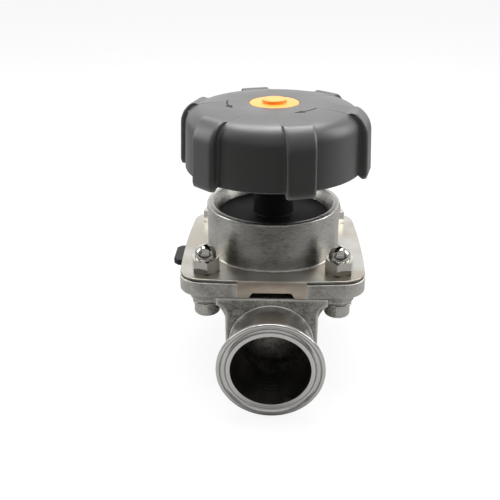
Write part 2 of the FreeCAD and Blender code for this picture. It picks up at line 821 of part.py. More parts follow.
def nut_seal_ring():
    """The O-ring between the spindle nut and the bonnet's floor."""
    body = new_body("nut_seal_ring")
    sketch = new_sketch(body, "seal_section", "XZ_Plane")
    add_circle(sketch, "(nut_radius + nut_fit - seal_ring_section)",
               f"({CHAMBER_TOP} + 1.5 * seal_ring_section)", "seal_ring_section")
    turn(body, sketch)
    return body


def nut_circlip():
    """The open spring ring that holds the spindle nut up in the floor."""
    base = f"({FLOOR_TOP} - clip_recess)"
    body = ring("nut_circlip", "(nut_radius - clip_groove + nut_fit)", "clip_outer", base,
                f"({base} + clip_thick)")
    gap = new_sketch(body, "clip_gap", "XY_Plane", base)
    add_loop(gap, [
        ("(-clip_thick)", "0"),
        ("clip_thick", "0"),
        ("clip_thick", "(2 * clip_outer)"),
        ("(-clip_thick)", "(2 * clip_outer)"),
    ])
    pocket(body, gap, "(2 * clip_thick)", reverse=True)
    return body


def dust_sleeve():
    """The moulded cover of the cup's floor, with the sleeve that shields the stem thread."""
    bore = "(sleeve_radius - sleeve_wall)"
    seat = f"({SLEEVE_TOP} - wiper_thick)"
    pocket_radius = "(sleeve_radius - sleeve_wall / 2)"
    return lathe("dust_sleeve", [
        (bore, FLOOR_TOP),
        ("(cup_inner - cover_clear)", FLOOR_TOP),
        ("(cup_inner - cover_clear)", COVER_TOP),
        ("sleeve_radius", COVER_TOP),
        ("sleeve_radius", SLEEVE_TOP),
        (pocket_radius, SLEEVE_TOP),
        (pocket_radius, seat),
        (bore, seat),
    ])


def spindle():
    """The stem: threaded shaft, trapped neck, square for the wheel and threaded end."""
    body = new_body("spindle")
    neck_low = f"({PIN_HEIGHT} - pin_radius - pin_clear)"
    neck_high = f"({PIN_HEIGHT} + pin_radius + pin_clear)"
    end = f"({WHEEL_NUT_TOP} + stem_end_proud)"
    shaft = new_sketch(body, "shaft", "XZ_Plane")
    add_loop(shaft, [
        ("0", SPINDLE_END),
        ("spindle_radius", SPINDLE_END),
        ("spindle_radius", neck_low),
        ("spindle_neck", neck_low),
        ("spindle_neck", neck_high),
        ("spindle_radius", neck_high),
        ("spindle_radius", HUB_CEILING),
        ("stem_thread_radius", HUB_CEILING),
        ("stem_thread_radius", end),
        ("0", end),
    ])
    turn(body, shaft)
    square = new_sketch(body, "square", "XY_Plane", HUB_CEILING)
    add_loop(square, polygon("square_flats", 4, "45"))
    pad(body, square, "insert_height")
    return body


def handwheel():
    """The moulded handwheel: domed shell with six rounded grip lobes, hub, ribs and the cap's recess."""
    body = new_body("handwheel")
    body.Placement.Rotation = FreeCAD.Rotation(Vector(0, 0, 1), 1)
    body.setExpression("Placement.Rotation.Angle", cell("wheel_turn_deg"))
    side_top = "(wheel_radius - wheel_draft)"
    lobe_top = "(lobe_radius - wheel_draft)"
    bend = f"({side_top} - wheel_shoulder)"
    crown_height = f"({WHEEL_TOP} - crown_drop)"
    crown_span = "(crown_edge - crown_start)"
    crown = f"(({crown_span} * {crown_span} + crown_drop * crown_drop) / (2 * crown_drop))"
    past_bend = f"(crown_edge - {bend})"
    shoulder = f"({crown_height} - sqrt(wheel_shoulder * wheel_shoulder - {past_bend} * {past_bend}))"

    lobe = new_sketch(body, "lobe", "XZ_Plane")
    add_loop(lobe, [
        ("0", LOBE_BASE),
        ("lobe_radius", LOBE_BASE),
        (lobe_top, f"({WHEEL_TOP} - lobe_shoulder)", "lobe_shoulder", LEFT),
        (f"({lobe_top} - lobe_shoulder)", WHEEL_TOP),
        ("0", WHEEL_TOP),
    ])
    pad(body, lobe, "(2 * lobe_half_width)", middle=True)
    rounded = round_edges(body, "lobe_edges", "lobe_round", on_lobe_side)
    lobes = repeat_round(body, rounded, lobe, "lobes")
    lobes.TransformMode = "Whole shape"

    within = new_sketch(body, "between_lobes", "XZ_Plane")
    add_loop(within, [
        ("0", LOBE_BASE),
        ("(wheel_radius - wheel_wall)", LOBE_BASE),
        ("(wheel_radius - wheel_wall)", WHEEL_BASE),
        ("0", WHEEL_BASE),
    ])
    groove(body, within)

    dome = new_sketch(body, "wheel_dome", "XZ_Plane")
    add_loop(dome, [
        ("0", WHEEL_BASE),
        ("wheel_radius", WHEEL_BASE),
        (side_top, shoulder, "wheel_shoulder", LEFT),
        ("crown_edge", crown_height, crown, LEFT),
        ("crown_start", WHEEL_TOP),
        ("0", WHEEL_TOP),
    ])
    turn(body, dome)

    inner = "(wheel_radius - wheel_wall)"
    inner_top = f"({side_top} - wheel_wall)"
    hollow = new_sketch(body, "wheel_hollow", "XZ_Plane")
    add_loop(hollow, [
        ("hub_radius", LOBE_BASE),
        (inner, LOBE_BASE),
        (inner_top, shoulder, "(wheel_shoulder - wheel_wall)", LEFT),
        (bend, f"({shoulder} + wheel_shoulder - wheel_wall)"),
        ("hub_radius", f"({WHEEL_TOP} - wheel_wall)"),
    ])
    groove(body, hollow)

    core = new_sketch(body, "lobe_core", "XZ_Plane")
    add_loop(core, [
        ("lobe_root", LOBE_BASE),
        ("(lobe_radius - wheel_wall)", LOBE_BASE),
        (f"({lobe_top} - wheel_wall)", f"({WHEEL_TOP} - lobe_shoulder)"),
        ("lobe_root", f"({WHEEL_TOP} - lobe_shoulder)"),
    ])
    cores = pocket(body, core, "(2 * (lobe_half_width - wheel_wall))", middle=True)
    repeat_round(body, cores, core, "lobe_cores")

    rib = new_sketch(body, "rib", "XZ_Plane")
    rib_base = f"({WHEEL_TOP} - wheel_wall - rib_drop)"
    add_loop(rib, [
        ("(hub_radius - rib_lap)", rib_base),
        (bend, rib_base),
        (f"({inner_top} + wheel_wall / 2)", shoulder, "(wheel_shoulder - wheel_wall / 2)", LEFT),
        (bend, f"({shoulder} + wheel_shoulder - wheel_wall / 2)"),
        ("(hub_radius - rib_lap)", f"({WHEEL_TOP} - wheel_wall / 2)"),
    ])
    ribs = pad(body, rib, "rib_thick", middle=True)
    repeat_round(body, ribs, rib, "ribs")

    hub = new_sketch(body, "hub_bore", "XZ_Plane")
    pocket_radius = "(sleeve_radius + hub_clear)"
    skirt = "(cap_skirt_radius + cap_clear)"
    seat = "(cap_radius + cap_clear)"
    waist = "(square_flats / 2)"
    add_loop(hub, [
        ("0", WHEEL_BASE),
        (pocket_radius, WHEEL_BASE),
        (pocket_radius, HUB_CEILING),
        (waist, HUB_CEILING),
        (waist, INSERT_TOP),
        (skirt, INSERT_TOP),
        (skirt, CAP_SEAT),
        (seat, CAP_SEAT),
        (seat, WHEEL_TOP),
        ("0", WHEEL_TOP),
    ])
    groove(body, hub)

    socket = new_sketch(body, "insert_socket", "XY_Plane", HUB_CEILING)
    add_loop(socket, polygon("insert_flats", 6))
    pocket(body, socket, "insert_height", reverse=True)
    return body


def on_lobe_side(edge):
    """Whether an edge of the first lobe lies on one of its sides, above its foot and away from the stem."""
    ends = [vertex.Point for vertex in edge.Vertexes]
    half, foot = number("lobe_half_width"), number(LOBE_BASE)
    on_side = all(abs(abs(point.y) - half) < 1e-6 for point in ends)
    outward = max(point.x for point in ends) > 1e-6
    above = max(point.z for point in ends) > foot + 1e-6
    return on_side and outward and above


def repeat_round(body, feature, sketch, name):
    """Repeats a feature round the stem, once for each lobe."""
    pattern = body.newObject("PartDesign::PolarPattern", name)
    pattern.Originals = [feature]
    pattern.Axis = (sketch, ["V_Axis"])
    pattern.Angle = 360
    pattern.setExpression("Occurrences", cell("lobe_count"))
    body.Tip = pattern
    return pattern


def hub_insert():
    """The metal insert in the wheel's hub, hexagonal outside and square inside."""
    body = new_body("hub_insert")
    body.Placement.Rotation = FreeCAD.Rotation(Vector(0, 0, 1), 1)
    body.setExpression("Placement.Rotation.Angle", cell("wheel_turn_deg"))
    outside = new_sketch(body, "insert_outside", "XY_Plane", HUB_CEILING)
    add_loop(outside, polygon("insert_flats", 6))
    pad(body, outside, "insert_height")
    inside = new_sketch(body, "insert_square", "XY_Plane", HUB_CEILING)
    add_loop(inside, polygon("(square_flats + 2 * square_fit)", 4, "(45 - wheel_turn_deg)"))
    pocket(body, inside, "insert_height", reverse=True)
    return body


def wheel_nut():
    """The thin hexagon nut that clamps the wheel to the stem."""
    body = new_body("wheel_nut")
    sketch = new_sketch(body, "wheel_nut_hexagon", "XY_Plane", WHEEL_NUT_BASE)
    add_loop(sketch, polygon("wheel_nut_flats", 6))
    add_circle(sketch, "0", "0", "(stem_thread_radius + thread_clear)")
    pad(body, sketch, "wheel_nut_height")
    bevel_corners(body, "wheel_nut_bevel", "wheel_nut_flats", WHEEL_NUT_TOP)
    return body


def indicator_cap():
    """The orange cap over the wheel nut: disc, press-in skirt and raised button."""
    skirt_base = f"({CAP_SEAT} - cap_skirt_drop)"
    boss_top = f"({WHEEL_TOP} + cap_boss_height)"
    return lathe("indicator_cap", [
        ("0", CAP_SEAT),
        ("(cap_skirt_radius - cap_skirt_wall)", CAP_SEAT),
        ("(cap_skirt_radius - cap_skirt_wall)", skirt_base),
        ("cap_skirt_radius", skirt_base),
        ("cap_skirt_radius", CAP_SEAT),
        ("cap_radius", CAP_SEAT),
        ("cap_radius", f"({WHEEL_TOP} - cap_round)", "cap_round", LEFT),
        ("(cap_radius - cap_round)", WHEEL_TOP),
        ("cap_boss_radius", WHEEL_TOP),
        ("cap_boss_radius", f"({boss_top} - cap_round)", "cap_round", LEFT),
        ("(cap_boss_radius - cap_round)", boss_top),
        ("0", boss_top),
    ])


def bevel_corners(body, name, flats, top):
    """Turns down the upper corners of a hexagon."""
    sketch = new_sketch(body, name, "XZ_Plane")
    add_loop(sketch, [
        (f"({flats} / 2)", top),
        (flats, top),
        (flats, f"({top} - {flats} / 2 * tan(nut_bevel_deg))"),
    ])
    return groove(body, sketch)


def cap_nuts():
    """The four acorn nuts on the bonnet flange."""
    body = corner_body("first_cap_nut")
    hexagon = new_sketch(body, "nut_hexagon", "XY_Plane", BONNET_TOP)
    add_loop(hexagon, polygon("nut_flats", 6, "(30 + nut_turn_deg)"))
    pad(body, hexagon, "nut_hex_height")
    bevel_corners(body, "nut_bevel", "nut_flats", f"({BONNET_TOP} + nut_hex_height)")
    dome = new_sketch(body, "nut_dome", "XZ_Plane")
    top = f"({BONNET_TOP} + nut_height)"
    add_loop(dome, [
        ("0", BONNET_TOP),
        ("nut_dome", BONNET_TOP),
        ("nut_dome", f"({top} - nut_dome)", "nut_dome", LEFT),
        ("0", top),
    ])
    turn(body, dome)
    bore = new_sketch(body, "nut_thread", "XZ_Plane")
    add_loop(bore, [
        ("0", BONNET_TOP),
        ("thread_hole", BONNET_TOP),
        ("thread_hole", f"({BONNET_TOP} + nut_thread_depth)"),
        ("0", f"({BONNET_TOP} + nut_thread_depth)"),
    ])
    groove(body, bore)
    return four_corners("cap_nuts", body)


def flange_screws():
    """The four low-head socket screws, put in from below."""
    body = corner_body("first_flange_screw")
    head_base = f"({WASHER_BASE} - head_thick)"
    end = f"({WASHER_BASE} + screw_length)"
    shape = new_sketch(body, "screw_section", "XZ_Plane")
    add_loop(shape, [
        ("0", head_base),
        ("(head_radius - head_round)", head_base, "head_round", LEFT),
        ("head_radius", f"({head_base} + head_round)"),
        ("head_radius", WASHER_BASE),
        ("screw_radius", WASHER_BASE),
        ("screw_radius", end),
        ("0", end),
    ])
    turn(body, shape)
    socket = new_sketch(body, "screw_socket", "XY_Plane", head_base)
    add_loop(socket, polygon("socket_flats", 6))
    pocket(body, socket, "socket_depth", reverse=True)
    return four_corners("flange_screws", body)


def screw_washers():
    """The four washers under the screw heads."""
    body = corner_body("first_screw_washer")
    sketch = new_sketch(body, "washer_section", "XY_Plane", WASHER_BASE)
    add_circle(sketch, "0", "0", "washer_radius")
    add_circle(sketch, "0", "0", "thread_hole")
    pad(body, sketch, "washer_thick")
    return four_corners("screw_washers", body)


def build():
    """Makes every piece in the order of assembly."""
    return [
        valve_body(),
        diaphragm(),
        bonnet(),
        flange_screws(),
        screw_washers(),
        cap_nuts(),
        spindle_nut(),
        nut_seal_ring(),
        nut_circlip(),
        dust_sleeve(),
        ring("spindle_wiper", "(spindle_radius + soft_clear)", "(sleeve_radius - sleeve_wall / 2)",
             f"({SLEEVE_TOP} - wiper_thick)", SLEEVE_TOP),
        compressor(),
        diaphragm_stud(),
        retaining_pins(),
        ring("thrust_washer", "(spindle_radius / 4)", "spindle_radius", THRUST_BASE,
             f"({THRUST_BASE} + thrust_thick)"),
        spindle(),
        handwheel(),
        hub_insert(),
        ring("wheel_washer", "(stem_thread_radius + thread_clear)", "wheel_washer_radius", INSERT_TOP,
             WHEEL_NUT_BASE),
        wheel_nut(),
        indicator_cap(),
    ]


pieces = build()
doc.recompute()

for item in doc.Objects:
    if "Invalid" in item.State or "Error" in item.State:
        raise RuntimeError(f"{item.Label} could not be built: {item.State}")
for piece in pieces:
    if piece.Shape.isNull() or not piece.Shape.isValid():
        raise RuntimeError(f"{piece.Label} has no valid shape")

os.makedirs("parts", exist_ok=True)
for piece in pieces:
    piece.Shape.exportStep(f"parts/{piece.Label}.step")
    box = piece.Shape.BoundBox
    print(f"{piece.Label}: {len(piece.Shape.Solids)} solids, {piece.Shape.Volume:.0f} mm3, "
          f"z {box.ZMin:.2f} to {box.ZMax:.2f}")
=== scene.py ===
"""Dresses the diaphragm valve: cast stainless body and bonnet, polished ends and nuts, moulded handwheel.

Lengths are millimetres measured from the stem's axis and the bore's axis, as the maker would give them.
They become metres in the part's frame when a piece is finished.
"""

import logging
import math
from dataclasses import dataclass, field
from enum import Enum
from typing import Iterable, Sequence

import bmesh
import bpy
from mathutils import Matrix, Vector


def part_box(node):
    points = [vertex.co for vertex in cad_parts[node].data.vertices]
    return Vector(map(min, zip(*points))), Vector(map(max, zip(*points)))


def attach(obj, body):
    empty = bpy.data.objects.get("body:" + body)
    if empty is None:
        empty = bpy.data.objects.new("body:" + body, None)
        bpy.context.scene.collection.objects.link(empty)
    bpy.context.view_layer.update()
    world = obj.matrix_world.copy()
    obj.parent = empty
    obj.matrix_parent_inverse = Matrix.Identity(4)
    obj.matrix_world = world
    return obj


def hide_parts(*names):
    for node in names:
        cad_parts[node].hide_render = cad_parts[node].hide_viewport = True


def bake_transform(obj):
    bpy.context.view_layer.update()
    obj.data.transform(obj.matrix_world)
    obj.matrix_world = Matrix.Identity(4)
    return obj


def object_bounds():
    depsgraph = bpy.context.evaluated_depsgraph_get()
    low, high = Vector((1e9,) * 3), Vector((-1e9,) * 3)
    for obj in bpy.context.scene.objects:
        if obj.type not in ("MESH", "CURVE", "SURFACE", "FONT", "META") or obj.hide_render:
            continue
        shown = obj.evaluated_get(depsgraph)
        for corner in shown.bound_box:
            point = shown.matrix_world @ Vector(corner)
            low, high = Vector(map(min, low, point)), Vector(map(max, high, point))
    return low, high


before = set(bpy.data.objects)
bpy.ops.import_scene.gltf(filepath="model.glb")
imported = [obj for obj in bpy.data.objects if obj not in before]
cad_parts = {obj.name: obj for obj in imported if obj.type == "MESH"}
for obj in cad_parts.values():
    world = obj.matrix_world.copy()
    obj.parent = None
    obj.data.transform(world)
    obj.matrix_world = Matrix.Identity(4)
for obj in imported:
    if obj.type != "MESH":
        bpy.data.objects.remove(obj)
CAD_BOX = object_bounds()

logging.basicConfig(level=logging.INFO, format="%(message)s")
log = logging.getLogger("diaphragm_valve")

MM = 0.001
STEM_LOW, STEM_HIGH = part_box("spindle")
STEM = Vector(((STEM_LOW.x + STEM_HIGH.x) / 2, (STEM_LOW.y + STEM_HIGH.y) / 2, 0.0))
WELD = 1e-6
SMOOTH_UNDER = math.radians(32)
HAIR = 0.01
WHITE = (1.0, 1.0, 1.0, 1.0)

Point = tuple[float, float, float]
Flat = tuple[float, float]
Corner = tuple[float, ...]
Link = tuple[bpy.types.Node, str | int]


class Rides(Enum):
    """The rigid bodies that a piece can move with."""

    VALVE = "root"
    COMPRESSOR = "compressor_body"
    WHEEL = "wheel_body"


class Axis(Enum):
    """What a turned piece is turned about."""

    STEM = "stem"
    BORE = "bore"


def linear(text: str) -> tuple[float, float, float, float]:
    """Turns an sRGB hex colour into the linear colour that a shader takes.

    Args:
        text: six hex digits, with or without a leading #.

    Returns:
        Red, green, blue and alpha, linear.
    """
    digits = text.lstrip("#")
    shares = [int(digits[place:place + 2], 16) / 255 for place in (0, 2, 4)]
    flat = [share / 12.92 if share <= 0.04045 else ((share + 0.055) / 1.055) ** 2.4 for share in shares]
    return (flat[0], flat[1], flat[2], 1.0)


def span(node: str) -> tuple[Vector, Vector]:
    """A node's lowest and highest corners in millimetres about the stem.

    Args:
        node: the node's name in the frame.

    Returns:
        The two corners.
    """
    low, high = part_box(node)
    return (low - STEM) / MM, (high - STEM) / MM


def eased(share: float) -> float:
    """A share from 0 to 1 with a gentle start and end."""
    share = min(max(share, 0.0), 1.0)
    return share * share * (3 - 2 * share)


def blend(start: float, end: float, share: float) -> float:
    """The value at a share of the way from start to end."""
    return start + (end - start) * share


# Shapes


def rounded(corners: Sequence[Corner], closed: bool = True, steps: int = 5) -> list[Flat]:
    """Rounds the corners of an outline with tangent arcs.

    Args:
        corners: (across, up) for a sharp corner, or (across, up, radius).
        closed: whether the last corner joins the first.
        steps: spans in each arc.

    Returns:
        The outline's points.
    """
    points: list[Flat] = []
    count = len(corners)
    for index, corner in enumerate(corners):
        radius = corner[2] if len(corner) == 3 else 0.0
        at = Vector(corner[:2])
        if radius == 0.0 or (not closed and index in (0, count - 1)):
            points.append((at.x, at.y))
            continue
        back = (Vector(corners[index - 1][:2]) - at).normalized()
        on = (Vector(corners[(index + 1) % count][:2]) - at).normalized()
        half = back.angle(on) / 2
        reach = radius / math.tan(half)
        centre = at + (back + on).normalized() * (radius / math.sin(half))
        first, last = at + back * reach - centre, at + on * reach - centre
        opening = math.atan2(first.y, first.x)
        turn = math.atan2(last.y, last.x) - opening
        turn = (turn + math.pi) % (2 * math.pi) - math.pi
        for step in range(steps + 1):
            angle = opening + turn * step / steps
            points.append((centre.x + radius * math.cos(angle), centre.y + radius * math.sin(angle)))
    return points


class Shape:
    """Collects loops of points and the faces between them, and turns them into a finished piece."""

    def __init__(self) -> None:
        """Starts with no points."""
        self.points: list[Point] = []
        self.faces: list[tuple[int, ...]] = []

    def loop(self, points: Iterable[Point]) -> list[int]:
        """Adds points and returns their numbers."""
        start = len(self.points)
        self.points.extend(points)
        return list(range(start, len(self.points)))

    def bridge(self, first: Sequence[int], second: Sequence[int], ring: bool = True) -> None:
        """Joins two loops of the same length with four-sided faces."""
        spans = len(first) if ring else len(first) - 1
        for place in range(spans):
            after = (place + 1) % len(first)
            self.faces.append((first[place], first[after], second[after], second[place]))

    def stack(self, loops: Sequence[Sequence[Point]], closed: bool = False, ring: bool = True) -> None:
        """Joins a row of loops into a skin.

        Args:
            loops: the loops, all of one length.
            closed: whether the last loop joins the first.
            ring: whether each loop closes on itself.
        """
        rows = [self.loop(points) for points in loops]
        for first, second in zip(rows, rows[1:]):
            self.bridge(first, second, ring)
        if closed:
            self.bridge(rows[-1], rows[0], ring)

    def lid(self, points: Sequence[Point]) -> None:
        """Closes an opening with one flat face."""
        self.faces.append(tuple(self.loop(points)))

    def capped(self, loops: Sequence[Sequence[Point]]) -> None:
        """Joins a row of loops and closes both ends."""
        self.stack(loops)
        self.lid(list(reversed(loops[0])))
        self.lid(loops[-1])

    def mesh(self, name: str) -> bpy.types.Mesh:
        """A mesh in metres in the part's frame, welded, with faces that point outwards."""
        mesh = bpy.data.meshes.new(name)
        placed = [Vector(point) * MM + STEM for point in self.points]
        mesh.from_pydata(placed, [], self.faces)
        tidy(mesh)
        return mesh

    def piece(self, name: str) -> bpy.types.Object:
        """The finished object, at the origin with its place in its mesh."""
        made = bpy.data.objects.new(name, self.mesh(name))
        bpy.context.scene.collection.objects.link(made)
        return made


def tidy(mesh: bpy.types.Mesh, weld: float = WELD) -> None:
    """Welds a closed mesh, points its faces outwards and smooths it between its sharp edges."""
    work = bmesh.new()
    work.from_mesh(mesh)
    bmesh.ops.remove_doubles(work, verts=work.verts, dist=weld)
    bmesh.ops.dissolve_degenerate(work, edges=work.edges, dist=weld)
    bmesh.ops.recalc_face_normals(work, faces=work.faces)
    work.to_mesh(mesh)
    work.free()
    smooth(mesh)


def smooth(mesh: bpy.types.Mesh) -> None:
    """Shades a mesh smooth except across its sharp edges."""
    mesh.polygons.foreach_set("use_smooth", [True] * len(mesh.polygons))
    mesh.set_sharp_from_angle(angle=SMOOTH_UNDER)


def turned(shape: Shape, profile: Sequence[Flat], axis: Axis = Axis.STEM, spans: int = 128,
           closed: bool = True) -> None:
    """Turns a profile round the stem or the bore.

    Args:
        shape: takes the skin.
        profile: (radius, height on the axis) points.
        axis: what the profile turns about.
        spans: flats round the turn.
        closed: whether the profile closes on itself.
    """
    loops: list[list[Point]] = []
    for radius, height in profile:
        ring: list[Point] = []
        for place in range(spans):
            angle = 2 * math.pi * place / spans
            across, other = radius * math.cos(angle), radius * math.sin(angle)
            ring.append((across, other, height) if axis is Axis.STEM else (across, height, other))
        loops.append(ring)
    shape.stack(loops, closed=closed)


def applied(piece: bpy.types.Object) -> bpy.types.Object:
    """Turns a piece's modifiers into plain mesh and removes them."""
    graph = bpy.context.evaluated_depsgraph_get()
    graph.update()
    made = bpy.data.meshes.new_from_object(piece.evaluated_get(graph), depsgraph=graph)
    old = piece.data
    piece.modifiers.clear()
    piece.data = made
    made.name = piece.name
    bpy.data.meshes.remove(old)
    return piece


def cut(piece: bpy.types.Object, tool: bpy.types.Object, keep: str = "DIFFERENCE") -> None:
    """Cuts one closed piece with another, which is used up.

    Args:
        piece: the piece that stays.
        tool: the piece that cuts, or that bounds what stays.
        keep: Blender's word for what is kept.
    """
    modifier = piece.modifiers.new("cut", "BOOLEAN")
    modifier.operation = keep
    modifier.solver = "EXACT"
    modifier.object = tool
    applied(piece)
    mesh = tool.data
    bpy.data.objects.remove(tool)
    bpy.data.meshes.remove(mesh)


def block(name: str, low: Point, high: Point) -> bpy.types.Object:
    """A plain box that only serves to cut other pieces."""
    corners = [(low[0], low[1]), (high[0], low[1]), (high[0], high[1]), (low[0], high[1])]
    return solid(name, [[(x, y, height) for x, y in corners] for height in (low[2], high[2])])


def solid(name: str, loops: Sequence[Sequence[Point]], closed: bool = False) -> bpy.types.Object:
    """A piece from a row of loops.

    Args:
        name: the piece's name.
        loops: the loops, all of one length.
        closed: whether the last loop joins the first; otherwise both ends get a lid.

    Returns:
        The piece.
    """
    shape = Shape()
    if closed:
        shape.stack(loops, closed=True)
    else:
        shape.capped(loops)
    return shape.piece(name)


def lathed(name: str, profile: Sequence[Flat], axis: Axis = Axis.STEM, spans: int = 128,
           closed: bool = True) -> bpy.types.Object:
    """A piece turned from one profile.

    Args:
        name: the piece's name.
        profile: (radius, height on the axis) points.
        axis: what the profile turns about.
        spans: flats round the turn.
        closed: whether the profile closes on itself.

    Returns:
        The piece.
    """
    shape = Shape()
    turned(shape, profile, axis, spans, closed)
    return shape.piece(name)


def settle(piece: bpy.types.Object, material: bpy.types.Material, rides: Rides, slot: str,
           *nodes: str) -> bpy.types.Object:
    """Gives a finished piece its material, its body and the nodes that it stands for.

    Args:
        piece: the finished piece.
        material: its finish.
        rides: the body that it moves with.
        slot: the record's material slot, not used.
        nodes: the nodes that it replaces.

    Returns:
        The piece.
    """
    piece.data.materials.clear()
    piece.data.materials.append(material)
    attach(piece, rides.value)
    if nodes:
        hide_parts(*nodes)
    log.info("%s: %d faces, moves with %s", piece.name, len(piece.data.polygons), rides.value)
    return piece


# Finishes


class Nodes:
    """A node tree with one way to add a node."""

    def __init__(self, tree: bpy.types.NodeTree) -> None:
        """Takes the tree that the nodes go to."""
        self.tree = tree

    def add(self, kind: str, inputs: dict | None = None, **settings: object) -> bpy.types.Node:
        """Adds a node.

        Args:
            kind: the node's type name.
            inputs: socket name or place to a value, or to a link's source.
            settings: the node's own properties.

        Returns:
            The new node.
        """
        node = self.tree.nodes.new(kind)
        for name, value in settings.items():
            setattr(node, name, value)
        self.feed(node, inputs or {})
        return node

    def feed(self, node: bpy.types.Node, inputs: dict) -> None:
        """Sets or links a node's sockets."""
        for socket, value in inputs.items():
            if isinstance(value, tuple) and isinstance(value[0], bpy.types.Node):
                self.tree.links.new(value[0].outputs[value[1]], node.inputs[socket])
            else:
                node.inputs[socket].default_value = value


class Finish(Nodes):
    """A material's nodes, with the patterns that the finishes share. Lengths are millimetres."""

    def __init__(self, name: str) -> None:
        """Makes the material and finds its surface shader."""
        self.material = bpy.data.materials.new(name)
        self.material.use_nodes = True
        super().__init__(self.material.node_tree)
        self.surface = self.tree.nodes["Principled BSDF"]
        self.place: Link = (self.add("ShaderNodeTexCoord"), "Object")

    def noise(self, size: float, detail: float, roughness: float = 0.5, at: Link | None = None) -> Link:
        """A pattern of a given size, on the object's own coordinates unless others are given."""
        return self.add("ShaderNodeTexNoise", {"Vector": at or self.place, "Scale": 1 / (size * MM),
                                               "Detail": detail, "Roughness": roughness}), "Fac"

    def mixed(self, first: Link, second: Link, share: float) -> Link:
        """Two patterns in one, with the first one's share."""
        part = self.add("ShaderNodeMath", {0: second, 1: 1 - share}, operation="MULTIPLY")
        return self.add("ShaderNodeMath", {0: first, 1: share, 2: (part, 0)}, operation="MULTIPLY_ADD"), 0

    def tone(self, pattern: Link, dark: str, pale: str, start: float, end: float) -> Link:
        """A colour that goes from dark to pale as a pattern goes from start to end."""
        node = self.add("ShaderNodeValToRGB", {"Fac": pattern})
        for element, position, colour in zip(node.color_ramp.elements, (start, end), (dark, pale)):
            element.position = position
            element.color = linear(colour)
        return node, "Color"

    def spread(self, pattern: Link, low: float, high: float, start: float = 0.3, end: float = 0.7) -> Link:
        """A value that goes from low to high as a pattern goes from start to end."""
        return self.add("ShaderNodeMapRange", {"Value": pattern, "From Min": start, "From Max": end,
                                               "To Min": low, "To Max": high}), "Result"

    def bump(self, pattern: Link, strength: float, depth: float, over: Link | None = None) -> Link:
        """A pattern raised on the surface, over another bump where one is given."""
        below = {"Normal": over} if over else {}
        return self.add("ShaderNodeBump", {"Height": pattern, "Strength": strength, "Distance": depth * MM,
                                           **below}), "Normal"

    def turns(self, hub: Point, axes: str, scale: Point = (1.0, 1.0, 1.0)) -> Link:
        """Distance from an axis and place along it, for marks that follow a tool round it.

        Args:
            hub: a point on the axis.
            axes: the two coordinates across the axis and then the one along it.
            scale: stretches the distance and the place.

        Returns:
            The coordinates.
        """
        about = self.add("ShaderNodeVectorMath", {0: self.place, 1: hub}, operation="SUBTRACT")
        parts = self.add("ShaderNodeSeparateXYZ", {0: (about, "Vector")})
        flat = self.add("ShaderNodeCombineXYZ", {0: (parts, axes[0]), 1: (parts, axes[1])})
        radius = self.add("ShaderNodeVectorMath", {0: (flat, "Vector")}, operation="LENGTH")
        both = self.add("ShaderNodeCombineXYZ", {0: (radius, "Value"), 1: (parts, axes[2])})
        stretched = self.add("ShaderNodeVectorMath", {0: (both, "Vector"), 1: scale}, operation="MULTIPLY")
        return stretched, "Vector"

    def worn(self, tone: Link, edge: str, start: float, end: float) -> Link:
        """Lightens the outer edges by pointiness, a painted highlight where the edges would catch the light.

        Args:
            tone: the plain colour.
            edge: the colour of the painted edge highlight.
            start: pointiness where the change begins.
            end: pointiness where it is complete.

        Returns:
            The colour.
        """
        shape = self.add("ShaderNodeNewGeometry")
        share = self.spread((shape, "Pointiness"), 0.0, 1.0, start, end)
        return self.add("ShaderNodeMix", {0: share, 6: tone, 7: linear(edge)}, data_type="RGBA"), 2

    def done(self, colour: object, rough: Link, normal: Link, metallic: float = 1.0,
             **more: float) -> bpy.types.Material:
        """Feeds the surface shader and gives the finished material."""
        self.feed(self.surface, {"Base Color": colour, "Metallic": metallic, "Roughness": rough,
                                 "Normal": normal, **more})
        return self.material


@dataclass(frozen=True)
class CastStainless:
    """Investment-cast stainless steel, pickled and bead-blasted.

    The eye gets a soft grey sheen, a fine grain, a slow waviness from the wax pattern, and a painted
    highlight along the outer edges.
    """

    name: str = "cast_stainless"
    pale: str = "#b9b7b2"
    dark: str = "#716e68"
    # edge: the colour of the painted highlight along the sharp outer edges
    edge: str = "#e2e0da"
    roughness: float = 0.42
    grain_mm: float = 1.7
    wave_mm: float = 7.0

    def material(self) -> bpy.types.Material:
        """Builds the material."""
        made = Finish(self.name)
        wave = made.noise(self.wave_mm, detail=3.0, roughness=0.55)
        grain = made.noise(self.grain_mm, detail=4.0, roughness=0.65)
        both = made.mixed(grain, wave, share=0.55)
        tone = made.tone(both, self.dark, self.pale, start=0.38, end=0.62)
        rough = made.spread(grain, low=self.roughness - 0.07, high=self.roughness + 0.09)
        slow = made.bump(wave, strength=0.2, depth=0.4)
        fine = made.bump(grain, strength=0.9, depth=0.35, over=slow)
        # Paints a highlight along the sharp outer edges by pointiness.
        return made.done(made.worn(tone, self.edge, start=0.505, end=0.55), rough, fine)


@dataclass(frozen=True)
class TurnedStainless:
    """Stainless steel turned on a lathe and polished: rings that follow the tool round the axis."""

    name: str
    axis: Axis
    colour: str = "#cdcbc8"
    roughness: float = 0.18
    ring_mm: float = 0.35
    facing: float = 0.4
    turning: float = 2.2
    smear_mm: float = 1000 / 60

    def material(self) -> bpy.types.Material:
        """Builds the material."""
        made = Finish(self.name)
        axes = "XYZ" if self.axis is Axis.STEM else "XZY"
        stretch = (self.facing, self.turning, 1.0)
        rings = made.noise(self.ring_mm, detail=2.0, at=made.turns(tuple(STEM), axes, stretch))
        smear = made.noise(self.smear_mm, detail=2.0)
        rough = made.spread(smear, low=self.roughness - 0.05, high=self.roughness + 0.06)
        return made.done(linear(self.colour), rough, made.bump(rings, strength=0.8, depth=0.1))


